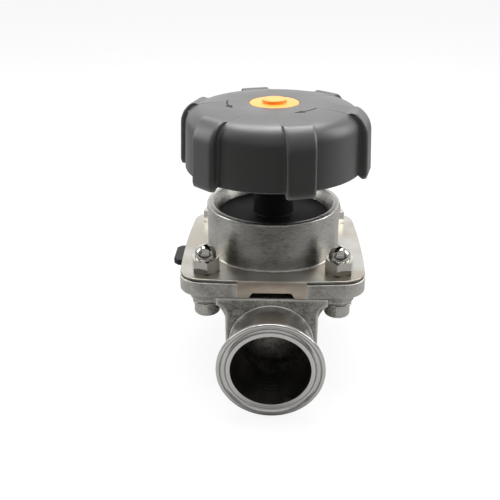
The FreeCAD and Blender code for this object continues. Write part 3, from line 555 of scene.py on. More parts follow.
@dataclass(frozen=True)
class MilledStainless:
    """Stainless steel faced with a wide cutter: fine arcs across the face, smoother in some patches."""

    name: str
    colour: str = "#afaea9"
    warm: str = "#9d978c"
    roughness: float = 0.33
    arc_mm: float = 0.45
    cutter_mm: float = 260.0
    patch_mm: float = 1000 / 38

    def material(self) -> bpy.types.Material:
        """Builds the material."""
        made = Finish(self.name)
        hub = (STEM.x - self.cutter_mm * MM, STEM.y + self.cutter_mm * MM, 0.0)
        arcs = made.noise(self.arc_mm, detail=3.0, at=made.turns(hub, "XYZ"))
        patch = made.noise(self.patch_mm, detail=3.0)
        tone = made.tone(patch, self.warm, self.colour, start=0.36, end=0.56)
        rough = made.spread(patch, low=self.roughness - 0.05, high=self.roughness + 0.10)
        return made.done(tone, rough, made.bump(arcs, strength=0.3, depth=0.05))


@dataclass(frozen=True)
class BrushedStainless:
    """Stainless steel rubbed by hand with abrasive cloth: short level scratches over a soft grey."""

    name: str
    colour: str = "#b4b3af"
    warm: str = "#8f8c86"
    roughness: float = 0.33
    scratch_mm: float = 0.6
    stretch: float = 6.0
    cloud_mm: float = 1000 / 55

    def material(self) -> bpy.types.Material:
        """Builds the material."""
        made = Finish(self.name)
        flatter = (1 / self.stretch, 1 / self.stretch, 1.0)
        level = made.add("ShaderNodeVectorMath", {0: made.place, 1: flatter}, operation="MULTIPLY")
        scratch = made.noise(self.scratch_mm, detail=4.0, roughness=0.6, at=(level, "Vector"))
        cloud = made.noise(self.cloud_mm, detail=4.0)
        both = made.mixed(scratch, cloud, share=0.6)
        tone = made.tone(both, self.warm, self.colour, start=0.38, end=0.6)
        rough = made.spread(scratch, low=self.roughness - 0.08, high=self.roughness + 0.10)
        return made.done(tone, rough, made.bump(scratch, strength=0.8, depth=0.14))


@dataclass(frozen=True)
class BrightStainless:
    """Barrel-polished stainless steel, as on acorn nuts and screws, with faint handling marks."""

    name: str
    colour: str = "#b3b0a9"
    roughness: float = 0.07
    mark_mm: float = 1.6
    depth_mm: float = 0.02

    def material(self) -> bpy.types.Material:
        """Builds the material."""
        made = Finish(self.name)
        marks = made.noise(self.mark_mm, detail=3.0)
        rough = made.spread(marks, low=self.roughness, high=self.roughness + 0.10, start=0.35)
        return made.done(linear(self.colour), rough, made.bump(marks, strength=0.2, depth=self.depth_mm))


@dataclass(frozen=True)
class MouldedPlastic:
    """Injection-moulded plastic with a spark-eroded grain, smoother and paler where hands rub it, and a
    painted highlight on its edges when an edge colour is given.
    """

    name: str
    colour: str
    rubbed: str
    roughness: float = 0.46
    grain_mm: float = 0.55
    depth_mm: float = 0.03
    specular: float = 0.5
    # edge: the colour of a painted highlight along the sharp edges, or none
    edge: str = ""
    cloud_mm: float = 1000 / 45

    def material(self) -> bpy.types.Material:
        """Builds the material."""
        made = Finish(self.name)
        cloud = made.noise(self.cloud_mm, detail=4.0)
        tone = made.tone(cloud, self.colour, self.rubbed, start=0.35, end=0.75)
        rough = made.spread(cloud, low=self.roughness + 0.03, high=self.roughness - 0.05, end=0.75)
        grain = made.noise(self.grain_mm, detail=2.0)
        normal = made.bump(grain, strength=0.35, depth=self.depth_mm)
        # Paints a highlight along the sharp edges by pointiness.
        if self.edge:
            tone = made.worn(tone, self.edge, start=0.52, end=0.62)
        return made.done(tone, rough, normal, metallic=0.0, **{"Specular IOR Level": self.specular})


# Copies


class Copies(Nodes):
    """A geometry tree that puts copies of one piece on points about the stem."""

    def __init__(self, name: str, ports: dict[str, str]) -> None:
        """Starts the tree with its inputs: the piece, the stem's place and the ones named here."""
        super().__init__(bpy.data.node_groups.new(name, "GeometryNodeTree"))
        kinds = {"Piece": "Geometry", "Stem": "Vector", **ports}
        for port, kind in kinds.items():
            self.tree.interface.new_socket(port, in_out="INPUT", socket_type=f"NodeSocket{kind}")
        self.tree.interface.new_socket("Copies", in_out="OUTPUT", socket_type="NodeSocketGeometry")
        self.start = self.add("NodeGroupInput")

    def close(self, points: Link, turn: Link, material: bpy.types.Material) -> None:
        """Ends the tree.

        Args:
            points: where the copies go.
            turn: each copy's turn about its own upright axis.
            material: what the copies are dressed with.
        """
        about = self.add("ShaderNodeCombineXYZ", {"Z": turn})
        placed = self.add("GeometryNodeInstanceOnPoints", {
            "Points": points, "Instance": (self.start, "Piece"), "Rotation": (about, 0)})
        moved = self.add("GeometryNodeTransform", {"Geometry": (placed, "Instances"),
                                                   "Translation": (self.start, "Stem")})
        real = self.add("GeometryNodeRealizeInstances", {"Geometry": (moved, "Geometry")})
        dressed = self.add("GeometryNodeSetMaterial", {
            "Geometry": (real, "Geometry"), "Material": material})
        self.add("NodeGroupOutput", {"Copies": (dressed, "Geometry")})

    def spread(self, piece: bpy.types.Object, **values: float) -> bpy.types.Object:
        """Repeats a piece that was made about the stem.

        Args:
            piece: the piece.
            values: the tree's own inputs.

        Returns:
            The same piece, now all its copies.
        """
        piece.data.transform(Matrix.Translation(-STEM))
        modifier = piece.modifiers.new("copies", "NODES")
        modifier.node_group = self.tree
        values["Stem"] = tuple(STEM)
        for item in self.tree.interface.items_tree:
            if item.in_out == "INPUT" and item.name in values:
                modifier[item.identifier] = values[item.name]
        applied(piece)
        smooth(piece.data)
        return piece


class BoltCopies(Copies):
    """Copies of one fastener at the four flange bolts, the swing mirrored from corner to corner."""

    def __init__(self, material: bpy.types.Material) -> None:
        """Builds the tree: size across, size along and swing."""
        super().__init__("bolt_copies", {"Across": "Float", "Along": "Float", "Swing": "Float"})
        grid = self.add("GeometryNodeMeshGrid", {
            "Vertices X": 2, "Vertices Y": 2,
            "Size X": (self.start, "Across"), "Size Y": (self.start, "Along")})
        place = self.add("GeometryNodeInputPosition")
        apart = self.add("ShaderNodeSeparateXYZ", {0: (place, "Position")})
        product = self.add("ShaderNodeMath", {0: (apart, "X"), 1: (apart, "Y")}, operation="MULTIPLY")
        side = self.add("ShaderNodeMath", {0: (product, 0)}, operation="SIGN")
        swing = self.add("ShaderNodeMath", {0: (side, 0), 1: (self.start, "Swing")}, operation="MULTIPLY")
        self.close((grid, "Mesh"), (swing, 0), material)


class RingCopies(Copies):
    """Copies of one piece turned evenly round the stem."""

    def __init__(self, material: bpy.types.Material) -> None:
        """Builds the tree: count and the first copy's turn."""
        super().__init__("ring_copies", {"Count": "Int", "Start": "Float"})
        line = self.add("GeometryNodeMeshLine", {"Count": (self.start, "Count"), "Offset": (0.0, 0.0, 0.0)})
        index = self.add("GeometryNodeInputIndex")
        share = self.add("ShaderNodeMath", {0: (index, 0), 1: (self.start, "Count")}, operation="DIVIDE")
        turn = self.add("ShaderNodeMath", {0: (share, 0), 1: 2 * math.pi, 2: (self.start, "Start")},
                        operation="MULTIPLY_ADD")
        self.close((line, "Mesh"), (turn, 0), material)


# Pieces of the body


def rectangle_outline(half_width: float, half_length: float, corner: float, spans: int = 12,
                      bow: float = 0.0) -> list[Flat]:
    """A rectangle with rounded corners whose points keep their places when it is inset.

    Args:
        half_width: half the size across the flow, beside the corners.
        half_length: half the size along the flow, beside the corners.
        corner: the corners' radius.
        spans: spans in each corner and each half side.
        bow: radius that the sides bulge with, or 0 for straight sides.

    Returns:
        The points, anticlockwise from the middle of the right side.
    """
    inner_x, inner_y = half_width - corner, half_length - corner

    def bulge(along: float, half: float) -> float:
        """How far a bowed side stands out at a place along it."""
        return math.sqrt(bow * bow - along * along) - math.sqrt(bow * bow - half * half) if bow else 0.0

    quarter: list[Flat] = []
    for step in range(spans):
        along = inner_y * step / spans
        quarter.append((half_width + bulge(along, inner_y), along))
    for step in range(spans):
        angle = math.pi / 2 * step / spans
        quarter.append((inner_x + corner * math.cos(angle), inner_y + corner * math.sin(angle)))
    for step in range(spans):
        along = inner_x * (spans - step) / spans
        quarter.append((along, half_length + bulge(along, inner_x)))
    points = list(quarter)
    points.append((0.0, half_length + bulge(0.0, inner_x)))
    points += [(-x, y) for x, y in reversed(quarter)]
    lower = [(x, -y) for x, y in reversed(points[1:-1])]
    return points + lower


def circle_like(outline: Sequence[Flat], radius: float) -> list[Flat]:
    """A circle whose points lie in the same directions as an outline's."""
    return [(x * radius / math.hypot(x, y), y * radius / math.hypot(x, y)) for x, y in outline]


def at_height(outline: Sequence[Flat], height: float) -> list[Point]:
    """Lifts an outline to a height."""
    return [(x, y, height) for x, y in outline]


@dataclass
class ValveBody:
    """The cast body with its two turned clamp ends."""

    bore: float = 23.75
    tube: float = 25.8
    ferrule: float = 32.0
    land: float = 2.3
    taper: float = 1.3
    shoulder: float = 28.4
    blend: float = 2.6
    groove: float = 28.15
    groove_radius: float = 1.95
    edge: float = 0.25
    weld: float = 0.55
    cast_half: float = 54.4
    overlap: float = 3.0
    voxel_mm: float = 0.85
    soften: int = 5
    flare: float = 5.5
    neck_half: float = 54.15
    neck_top: float = 30.2
    neck_collar: float = 5.7
    neck_start: float = 38.5
    arc_steps: int = 12
    end_radius: float = 28.6
    taper_run: float = 0.6
    weld_end: float = 1.4
    weld_crown: float = 0.9
    weld_foot: float = 0.5
    weld_round: float = 0.4
    passage_spans: int = 96
    beyond: float = 60.0
    room: float = 5.0

    def neck(self) -> bpy.types.Object:
        """The flared neck, drawn out to the casting's ends, where the mould's parting face lies."""
        centre_out = self.end_radius + self.flare
        centre_up = self.neck_top - self.neck_collar - self.flare
        side: list[Flat] = [(self.end_radius, 0.0)]
        for step in range(self.arc_steps + 1):
            angle = math.pi / 2 * step / self.arc_steps
            side.append((centre_out - self.flare * math.cos(angle),
                         centre_up + self.flare * math.sin(angle)))
        side.append((centre_out, self.neck_top))
        outline = side + [(-x, z) for x, z in reversed(side)]
        ends = (-self.neck_half, self.neck_half)
        return solid("neck", [[(x, along, z) for x, z in outline] for along in ends])

    def passage(self) -> bpy.types.Object:
        """What the neck must leave free: the bore right through."""
        angles = [2 * math.pi * place / self.passage_spans for place in range(self.passage_spans)]
        ends = (-2 * self.cast_half, 2 * self.cast_half)
        return solid("passage", [[(self.bore * math.cos(angle), along, self.bore * math.sin(angle))
                                  for angle in angles] for along in ends])

    def clamp_end(self, name: str, side: int) -> bpy.types.Object:
        """A turned tube with its ferrule, from the face back into the casting.

        Args:
            name: the piece's name.
            side: -1 at the inlet, 1 at the outlet.

        Returns:
            The piece.
        """
        face = span("valve_body")[1].y
        inner = self.cast_half - self.overlap
        taper_end = face - self.land - self.taper
        lip = self.groove_radius + self.edge
        profile = rounded([
            (self.bore, inner),
            (self.bore, face, self.edge),
            (self.groove - lip, face),
        ], closed=False)
        for step in range(self.arc_steps + 1):
            angle = math.pi * step / self.arc_steps
            profile.append((self.groove - self.groove_radius * math.cos(angle),
                            face - self.groove_radius * math.sin(angle)))
        profile += [(self.groove + lip, face)]
        outside = rounded([
            (self.groove + lip, face),
            (self.ferrule, face, 2 * self.edge),
            (self.ferrule, face - self.land, self.edge),
            (self.shoulder, taper_end, self.edge),
            (self.tube, taper_end - self.taper_run, self.blend),
            (self.tube, self.cast_half + self.weld_end),
            (self.tube + self.weld, self.cast_half + self.weld_crown, self.weld_round),
            (self.tube + self.weld, self.cast_half - self.weld_foot),
            (self.tube, inner),
        ], closed=False)
        profile += outside[1:]
        return lathed(name, [(radius, side * along) for radius, along in profile], Axis.BORE, spans=160)

    def casting(self) -> bpy.types.Object:
        """The casting between the tubes, from the node's own shape with soft as-cast edges."""
        made = bpy.data.objects.new("body_casting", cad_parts["valve_body"].data.copy())
        bpy.context.scene.collection.objects.link(made)
        tidy(made.data)
        low, high = span("valve_body")
        room = self.room
        within = block("within", (low.x - room, -self.cast_half, low.z - room),
                       (high.x + room, self.cast_half, high.z + room))
        cut(made, within, "INTERSECT")
        for side in (-1, 1):
            neck = self.neck()
            inner, outer = sorted((side * self.neck_start, side * 2 * self.cast_half))
            end_only = block("end_only", (-self.beyond, inner, -room), (self.beyond, outer, self.beyond))
            cut(neck, end_only, "INTERSECT")
            cut(neck, self.passage())
            cut(made, neck, "UNION")
        remesh = made.modifiers.new("skin", "REMESH")
        remesh.mode = "VOXEL"
        remesh.voxel_size = self.voxel_mm * MM
        remesh.use_smooth_shade = True
        ease = made.modifiers.new("ease", "SMOOTH")
        ease.factor = 0.5
        ease.iterations = self.soften
        applied(made)
        made.data.polygons.foreach_set("use_smooth", [True] * len(made.data.polygons))
        return made

    def build(self, cast: bpy.types.Material, tube: bpy.types.Material) -> None:
        """Makes and dresses the body's pieces."""
        settle(self.casting(), cast, Rides.VALVE, "cast_steel", "valve_body")
        for name, side in (("inlet_ferrule", -1), ("outlet_ferrule", 1)):
            settle(self.clamp_end(name, side), tube, Rides.VALVE, "cast_steel", "valve_body")


@dataclass
class Bonnet:
    """The cast bonnet: flange with a machined land, cup, floor and notches over the diaphragm's edge."""

    half_width: float = 57.2
    half_length: float = 54.0
    corner: float = 14.5
    bow: float = 590.0
    land: float = 2.2
    step: float = 0.7
    cast_edge: float = 0.7
    land_edge: float = 0.45
    lip: float = 0.9
    undercut: float = 1.5
    recess_half_width: float = 52.8
    recess_half_length: float = 49.1
    recess_corner: float = 11.3
    recess_depth: float = 3.8
    cup: float = 42.8
    cup_foot: float = 1.6
    mouth: float = 38.9
    inner: float = 35.0
    rim_edge: float = 1.35
    chamber: float = 33.0
    floor: float = 5.0
    nut_hole: float = 11.05
    notch_half: float = 14.0
    notch_lean: float = 2.2
    pad_half: float = 21.0
    pad_face: float = 55.05
    pad_root: float = 50.0
    pad_edge: float = 0.25
    pad_over: float = 0.15
    land_run: float = 2.0
    lip_edge: float = 0.15
    sunk: float = 0.3
    seam: float = 1.5
    rise: float = 4.0
    apart: float = 0.05
    room: float = 5.0
    below: float = 1.0

    def inset(self, distance: float, height: float) -> list[Point]:
        """The flange's outline, set in by a distance, at a height."""
        outline = rectangle_outline(self.half_width - distance, self.half_length - distance,
                                    self.corner - distance, bow=self.bow)
        return at_height(outline, height)

    def ring(self, radius: float, height: float) -> list[Point]:
        """A circle whose points match the flange's outline."""
        outline = rectangle_outline(self.half_width, self.half_length, self.corner)
        return at_height(circle_like(outline, radius), height)

    def casting(self, low: float, ledge: float, floor: float) -> bpy.types.Object:
        """The flange under its land and the floor, as one closed skin.

        Args:
            low: height of the flange's underside.
            ledge: height of the as-cast ledge round the land.
            floor: height of the floor that the sleeve stands on.

        Returns:
            The piece, before its notches are cut.
        """
        loops = [
            self.ring(self.nut_hole, floor - self.floor),
            self.ring(self.chamber, floor - self.floor),
            self.ring(self.chamber, low + self.recess_depth),
        ]
        recess = rectangle_outline(self.recess_half_width, self.recess_half_length, self.recess_corner)
        loops += [at_height(recess, low + self.recess_depth), at_height(recess, low)]
        side = rounded([
            (self.cast_edge * 3, low),
            (0.0, low, self.cast_edge),
            (0.0, ledge, self.cast_edge),
            (self.cast_edge * 3, ledge),
        ], closed=False, steps=6)
        loops += [self.inset(distance, height) for distance, height in side]
        within = self.inner + self.seam
        loops += [self.ring(within, ledge), self.ring(within, floor), self.ring(self.nut_hole, floor)]
        return solid("bonnet_casting", loops, closed=True)

    def cup_wall(self, ledge: float, top: float, cup_top: float, floor: float) -> bpy.types.Object:
        """The open cup, turned on the outside, with its rounded foot and rim."""
        foot = self.cup + self.cup_foot
        profile = rounded([
            (self.inner, ledge - self.sunk),
            (foot, ledge - self.sunk),
            (foot, top),
            (self.cup, top, self.cup_foot - self.apart),
            (self.cup, cup_top, self.rim_edge),
            (self.mouth, cup_top, self.rim_edge),
            (self.inner, floor + self.rise),
        ], steps=8)
        return lathed("bonnet_cup", profile, spans=192)

    def pads(self, low: float, top: float) -> bpy.types.Object:
        """The flats milled on the flange's two ends, over the notches."""
        shape = Shape()
        for side in (-1, 1):
            section = rounded([
                (self.pad_root, low + self.apart),
                (self.pad_face, low + self.apart, self.pad_edge),
                (self.pad_face, top - self.sunk, self.pad_edge),
                (self.pad_root, top - self.sunk),
            ], steps=3)
            ends = [[(across, side * along, height) for along, height in section]
                    for across in (-self.pad_half, self.pad_half)]
            shape.capped(ends)
        return shape.piece("bonnet_pads")

    def machined_land(self, ledge: float, top: float) -> bpy.types.Object:
        """The machined face that the nuts sit on, proud of the casting."""
        section = rounded([
            (self.step + self.undercut, ledge - self.sunk),
            (self.step + self.undercut, top - self.lip),
            (self.step, top - self.lip, self.lip_edge),
            (self.step, top, self.land_edge),
            (self.step + self.land_run, top),
        ], closed=False, steps=4)
        inner = self.cup + self.cup_foot
        loops = [self.inset(distance, height) for distance, height in section]
        loops += [self.ring(inner, top), self.ring(inner, ledge - self.sunk)]
        return solid("bonnet_land", loops, closed=True)

    def build(self, cast: bpy.types.Material, machined: bpy.types.Material, milled: bpy.types.Material,
              brushed: bpy.types.Material) -> None:
        """Makes and dresses the bonnet."""
        low, high = span("bonnet")
        top = span("cap_nuts")[0].z
        floor = span("dust_sleeve")[0].z
        ledge = top - self.land
        made = self.casting(low.z, ledge, floor)
        for side in (-1, 1):
            near, far = sorted((side * (self.pad_face - self.pad_over), side * 2 * self.half_length))
            flat = block("flat", (-self.pad_half, near, low.z - self.room),
                         (self.pad_half, far, top + self.room))
            cut(made, flat)
        pads = self.pads(low.z, top)
        for piece in (made, pads):
            for turn in (0.0, math.pi / 2):
                cut(piece, self.notch(low.z, 2 * self.half_width, turn))
            tidy(piece.data)
        land, wall = self.machined_land(ledge, top), self.cup_wall(ledge, top, high.z, floor)
        for piece, finish in ((made, cast), (pads, milled), (land, machined), (wall, brushed)):
            settle(piece, finish, Rides.VALVE, "cast_steel", "bonnet")

    def notch(self, base: float, reach: float, turn: float) -> bpy.types.Object:
        """A bar that cuts the notches in two opposite sides of the flange."""
        top = base + self.recess_depth
        narrow = self.notch_half - self.notch_lean
        low = base - self.below
        under = self.notch_half + self.notch_lean * self.below / self.recess_depth
        section = [(-under, low), (under, low), (narrow, top), (-narrow, top)]
        ends: list[list[Point]] = []
        for along in (-reach, reach):
            ends.append([(x * math.cos(turn) - along * math.sin(turn),
                          x * math.sin(turn) + along * math.cos(turn), z) for x, z in section])
        return solid("notch", ends)


# Fasteners


@dataclass
class Bolting:
    """Screws from below, their washers, and acorn nuts on top."""

    across: float = 82.0
    along: float = 78.0
    nut_flats: float = 16.0
    nut_hex: float = 8.6
    nut_dome: float = 6.6
    nut_neck: float = 0.5
    nut_swing: float = math.radians(42)
    bevel: float = math.radians(30)
    thread: float = 5.05
    thread_depth: float = 12.6
    head_edge: float = 1.1
    shank: float = 4.95
    socket: float = 7.0
    socket_depth: float = 4.5
    socket_mouth: float = 0.62
    socket_bevel: float = 0.4
    thread_bevel: float = 0.5
    drill_point: float = 2.0
    face_in: float = 0.15
    tip_edge: float = 0.6
    seat_edge: float = 0.3
    stamped_hole: float = 0.15
    stamped_low: float = 0.3
    stamped_high: float = 0.2

    def hexagon(self, flats: float, spans: int = 16) -> list[Flat]:
        """A hexagon's outline, a whole number of spans to each side."""
        points: list[Flat] = []
        side = math.pi / 3
        count = 6 * spans
        for place in range(count):
            angle = 2 * math.pi * place / count
            reach = flats / 2 / math.cos(angle % side - side / 2)
            points.append((reach * math.cos(angle), reach * math.sin(angle)))
        return points

    def acorn_nut(self) -> bpy.types.Object:
        """One acorn nut, bevelled top and bottom, with its dome and blind thread."""
        low, high = span("cap_nuts")
        outline = self.hexagon(self.nut_flats)
        seat, top = low.z, high.z
        hex_top = seat + self.nut_hex

        def circle(radius: float, height: float) -> list[Point]:
            """A circle with the hexagon's number of points."""
            return at_height(circle_like(outline, radius), height)

        def bevelled(height: float, upward: int) -> list[Point]:
            """The hexagon where a cone about the axis meets its sides."""
            return [(x, y, height - upward * (math.hypot(x, y) - self.nut_flats / 2) * math.tan(self.bevel))
                    for x, y in outline]

        bevel_in = self.nut_flats / 2 - self.face_in
        blind = seat + self.thread_depth
        loops = [circle(HAIR, blind), circle(self.thread, blind - self.drill_point),
                 circle(self.thread, seat + self.thread_bevel),
                 circle(self.thread + self.thread_bevel, seat), circle(bevel_in, seat),
                 bevelled(seat, -1), bevelled(hex_top, 1), circle(bevel_in, hex_top)]
        dome = rounded([
            (self.nut_dome + self.nut_neck, hex_top),
            (self.nut_dome, hex_top, self.nut_neck),
            (self.nut_dome, top, self.nut_dome - 2 * HAIR),
            (HAIR, top),
        ], closed=False, steps=14)
        loops += [circle(radius, height) for radius, height in dome]
        shape = Shape()
        shape.stack(loops)
        shape.lid(loops[-1])
        shape.lid(list(reversed(loops[0])))
        return shape.piece("acorn_nuts")

    def screw(self) -> bpy.types.Object:
        """One low-head socket screw, head down."""
        low, high = span("flange_screws")
        seat = span("screw_washers")[0].z
        head = high.x - self.across / 2
        mouth = self.socket * self.socket_mouth
        outline = self.hexagon(self.socket, spans=12)
        profile = rounded([
            (mouth, low.z),
            (head, low.z, self.head_edge),
            (head, seat, self.seat_edge),
            (self.shank, seat),
            (self.shank, high.z, self.tip_edge),
            (HAIR, high.z),
        ], closed=False)
        loops = [at_height(outline, low.z + height) for height in (self.socket_depth, self.socket_bevel)]
        loops += [at_height(circle_like(outline, radius), height) for radius, height in profile]
        return solid("socket_screws", loops)

    def washer(self) -> bpy.types.Object:
        """One flat washer with stamped edges."""
        low, high = span("screw_washers")
        outer = high.x - self.across / 2
        profile = rounded([
            (self.thread, low.z, self.stamped_hole),
            (outer, low.z, self.stamped_low),
            (outer, high.z, self.stamped_high),
            (self.thread, high.z, self.stamped_hole),
        ], steps=3)
        return lathed("flat_washers", profile, spans=64)

    def build(self, polished: bpy.types.Material, bright: bpy.types.Material) -> None:
        """Makes and dresses the fasteners."""
        place = {"Across": self.across * MM, "Along": self.along * MM}
        nuts = BoltCopies(polished).spread(self.acorn_nut(), **place, Swing=self.nut_swing)
        settle(nuts, polished, Rides.VALVE, "polished_steel", "cap_nuts")
        copies = BoltCopies(bright)
        for made, node in ((self.screw(), "flange_screws"), (self.washer(), "screw_washers")):
            settle(copies.spread(made, **place), bright, Rides.VALVE, "bolt_steel", node)


# Diaphragm and stem


@dataclass
class DiaphragmSkin:
    """The rubber diaphragm: clamped rim with its tab, a dome that bends, and its moving centre."""

    corner: float = 11.0
    rim_half_width: float = 52.5
    tab_half: float = 11.5
    tab_chamfer: float = 3.0
    tab_round: float = 1.0
    tab_root: float = 50.5
    tab_sink: float = 0.02
    recess: float = 3.8
    socket: float = 7.3
    socket_gap: float = 0.3
    bend_out: float = 30.6
    bend_in: float = 12.0
    hollow: float = 4.6
    edge: float = 0.4
    petals: int = 12
    rings: int = 10
    spans: int = 6

    def levels(self) -> tuple[float, float]:
        """Heights of the clamped rim's underside and top."""
        return span("diaphragm")[0].z, span("bonnet")[0].z + self.recess

    def rim(self) -> bpy.types.Object:
        """The clamped rim."""
        seat, top = self.levels()
        half_length = span("diaphragm")[1].y
        base = rectangle_outline(self.rim_half_width, half_length, self.corner)

        def ring(radius: float, height: float) -> list[Point]:
            """A circle with the rim's number of points."""
            return at_height(circle_like(base, radius), height)

        def inset(distance: float, height: float) -> list[Point]:
            """The rim's outline, set in by a distance."""
            outline = rectangle_outline(self.rim_half_width - distance, half_length - distance,
                                        self.corner - distance)
            return at_height(outline, height)

        loops = [ring(self.bend_out, seat), inset(self.edge, seat), inset(0, seat + self.edge),
                 inset(0, top - self.edge), inset(self.edge, top), ring(self.bend_out, top)]
        return solid("diaphragm_rim", loops, closed=True)

    def tab(self) -> bpy.types.Object:
        """The tab that stands out of the flange's side."""
        tip = span("diaphragm")[0].x
        seat, top = self.levels()
        outline: list[Corner] = [
            (-self.tab_root, -self.tab_half),
            (-self.tab_root, self.tab_half),
            (tip + self.tab_chamfer, self.tab_half, self.tab_round),
            (tip, self.tab_half - self.tab_chamfer, self.tab_round),
            (tip, self.tab_chamfer - self.tab_half, self.tab_round),
            (tip + self.tab_chamfer, -self.tab_half, self.tab_round),
        ]
        centre = Vector(((tip - self.tab_root) / 2, 0.0))
        points = rounded(outline)

        def shrunk(distance: float, height: float) -> list[Point]:
            """The tab's outline, drawn in towards its middle."""
            result: list[Point] = []
            for x, y in points:
                away = Vector((x, y)) - centre
                away *= 1 - distance / max(away.length, 1.0)
                result.append((centre.x + away.x, centre.y + away.y, height))
            return result

        return solid("diaphragm_tab", [
            shrunk(self.edge, seat + self.tab_sink), shrunk(0, seat + self.edge),
            shrunk(0, top - self.edge), shrunk(self.edge, top - self.tab_sink)])

    def heights(self, radius: float) -> tuple[float, float]:
        """Under and upper height of the dome at a radius."""
        seat, top = self.levels()
        crown = span("diaphragm")[1].z
        share = eased((self.bend_out - radius) / (self.bend_out - self.bend_in))
        return blend(seat, seat + self.hollow, share), blend(top, crown, share)

    def petal(self, number: int) -> bpy.types.Object:
        """One wedge of the bending dome."""
        opening = 2 * math.pi * number / self.petals
        loops: list[list[Point]] = []
        for ring in range(self.rings + 1):
            radius = blend(self.bend_in, self.bend_out, ring / self.rings)
            under, upper = self.heights(radius)
            arc: list[Flat] = []
            for step in range(self.spans + 1):
                angle = opening + 2 * math.pi / self.petals * step / self.spans
                arc.append((radius * math.cos(angle), radius * math.sin(angle)))
            loops.append(at_height(arc, upper) + at_height(arc[::-1], under))
        return solid(f"diaphragm_petal_{number + 1:02d}", loops)

    def centre(self) -> bpy.types.Object:
        """The middle of the dome, which moves with the compressor."""
        under, upper = self.heights(self.bend_in)
        bottom = span("diaphragm_stud")[0].z - self.socket_gap
        profile = [(0.0, under), (self.bend_in, under), (self.bend_in, upper), (self.socket, upper),
                   (self.socket, bottom), (0.0, bottom)]
        return lathed("diaphragm_centre", profile, spans=self.petals * self.spans, closed=False)

    def build(self, rubber: bpy.types.Material) -> None:
        """Makes the diaphragm's pieces, with the petals left on no body."""
        for made, rides in ((self.rim(), Rides.VALVE), (self.tab(), Rides.VALVE),
                            (self.centre(), Rides.COMPRESSOR)):
            settle(made, rubber, rides, "black_rubber", "diaphragm")
        for number in range(self.petals):
            made = self.petal(number)
            made.data.materials.append(rubber)
            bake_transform(made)
            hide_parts("diaphragm")
        log.info("diaphragm: rim, tab, centre and %d petals", self.petals)


@dataclass
class Stem:
    """The spindle with its trapezoidal thread, and the sleeve round it with the wiper's seat."""

    crest: float = 8.0
    root: float = 6.4
    neck: float = 5.8
    pitch: float = 4.0
    rows_per_turn: int = 16
    spans: int = 64
    neck_low: float = 47.9
    neck_high: float = 52.1
    thread_low: float = 55.5
    square: float = 11.0
    thin: float = 5.0
    flank: float = 0.13
    runout: float = 0.4
    tip: float = 0.8
    tip_spans: int = 48
    sleeve_bore: float = 9.3
    sleeve_foot: float = 12.9
    sleeve_mouth: float = 12.5
    wiper_seat: float = 10.9
    dish: float = 3.5
    sleeve_edge: float = 0.3
    mouth_edge: float = 0.5
    sleeve_root: float = 1.2
    seat_edge: float = 0.2

    def profile(self, share: float) -> float:
        """The thread's radius at a share of one pitch."""
        flank = self.flank
        if share < 0.5 - flank:
            return self.crest
        if share < 0.5:
            return blend(self.crest, self.root, (share - 0.5 + flank) / flank)
        if share < 1 - flank:
            return self.root
        return blend(self.root, self.crest, (share - 1 + flank) / flank)

    def threaded(self, low: float, high: float) -> bpy.types.Object:
        """The threaded length, whose rows follow the helix and run out at both ends."""
        turns = (high - low) / self.pitch
        rows = int((turns + 2) * self.rows_per_turn)
        loops: list[list[Point]] = []
        for row in range(rows + 1):
            ring: list[Point] = []
            for place in range(self.spans + 1):
                lead = place / self.spans
                height = low - self.pitch + self.pitch * (row / self.rows_per_turn + lead)
                share = (row / self.rows_per_turn) % 1.0
                reach = self.profile(share)
                held = min(max(height, low), high)
                reach = min(reach, self.root + min(held - low, high - held) + self.runout)
                angle = 2 * math.pi * lead
                ring.append((reach * math.cos(angle), reach * math.sin(angle), held))
            loops.append(ring)
        shape = Shape()
        shape.stack(loops, ring=False)
        columns = self.spans + 1
        bottom = shape.loop([(0.0, 0.0, low)] * columns)
        top = shape.loop([(0.0, 0.0, high)] * columns)
        shape.bridge(bottom, list(range(columns)), ring=False)
        shape.bridge(list(range(rows * columns, (rows + 1) * columns)), top, ring=False)
        return shape.piece("spindle_thread")

    def build(self, steel: bpy.types.Material, black: bpy.types.Material) -> None:
        """Makes the spindle and the sleeve."""
        low, high = span("spindle")
        (_, _, square_low), (_, _, square_high) = span("hub_insert")
        foot = lathed("spindle_foot", [
            (0.0, low.z), (self.crest, low.z), (self.crest, self.neck_low), (self.neck, self.neck_low),
            (self.neck, self.neck_high), (self.crest, self.neck_high), (self.crest, self.thread_low),
            (0.0, self.thread_low),
        ], spans=self.spans, closed=False)
        head = Shape()
        half = self.square / 2
        corners = [(half, -half), (half, half), (-half, half), (-half, -half)]
        head.capped([at_height(corners, square_low), at_height(corners, square_high)])
        turned(head, [(0.0, square_high), (self.thin, square_high), (self.thin, high.z - self.tip),
                      (self.thin - self.tip, high.z), (0.0, high.z)], spans=self.tip_spans, closed=False)
        for made in (foot, self.threaded(self.thread_low, square_low), head.piece("spindle_head")):
            settle(made, steel, Rides.WHEEL, "spindle_steel", "spindle")

        floor, sleeve_top = span("dust_sleeve")
        wiper_low = span("spindle_wiper")[0].z
        outer, dish = -floor.x, floor.z + self.dish
        sleeve = lathed("dust_sleeve_moulding", rounded([
            (self.sleeve_bore, floor.z),
            (outer, floor.z, self.sleeve_edge),
            (outer, dish, self.mouth_edge),
            (self.sleeve_foot, dish, self.sleeve_root),
            (self.sleeve_mouth, sleeve_top.z, self.mouth_edge),
            (self.wiper_seat, sleeve_top.z, self.seat_edge),
            (self.wiper_seat, wiper_low),
            (self.sleeve_bore, wiper_low),
        ]))
        settle(sleeve, black, Rides.VALVE, "black_moulding", "dust_sleeve")


# Handwheel


@dataclass(frozen=True)
class Station:
    """One column of the wheel's skin: a lobe's point, or a share of the rim between two lobes."""

    lobe: int
    side: int
    beside: float
    proud: float
    share: float | None


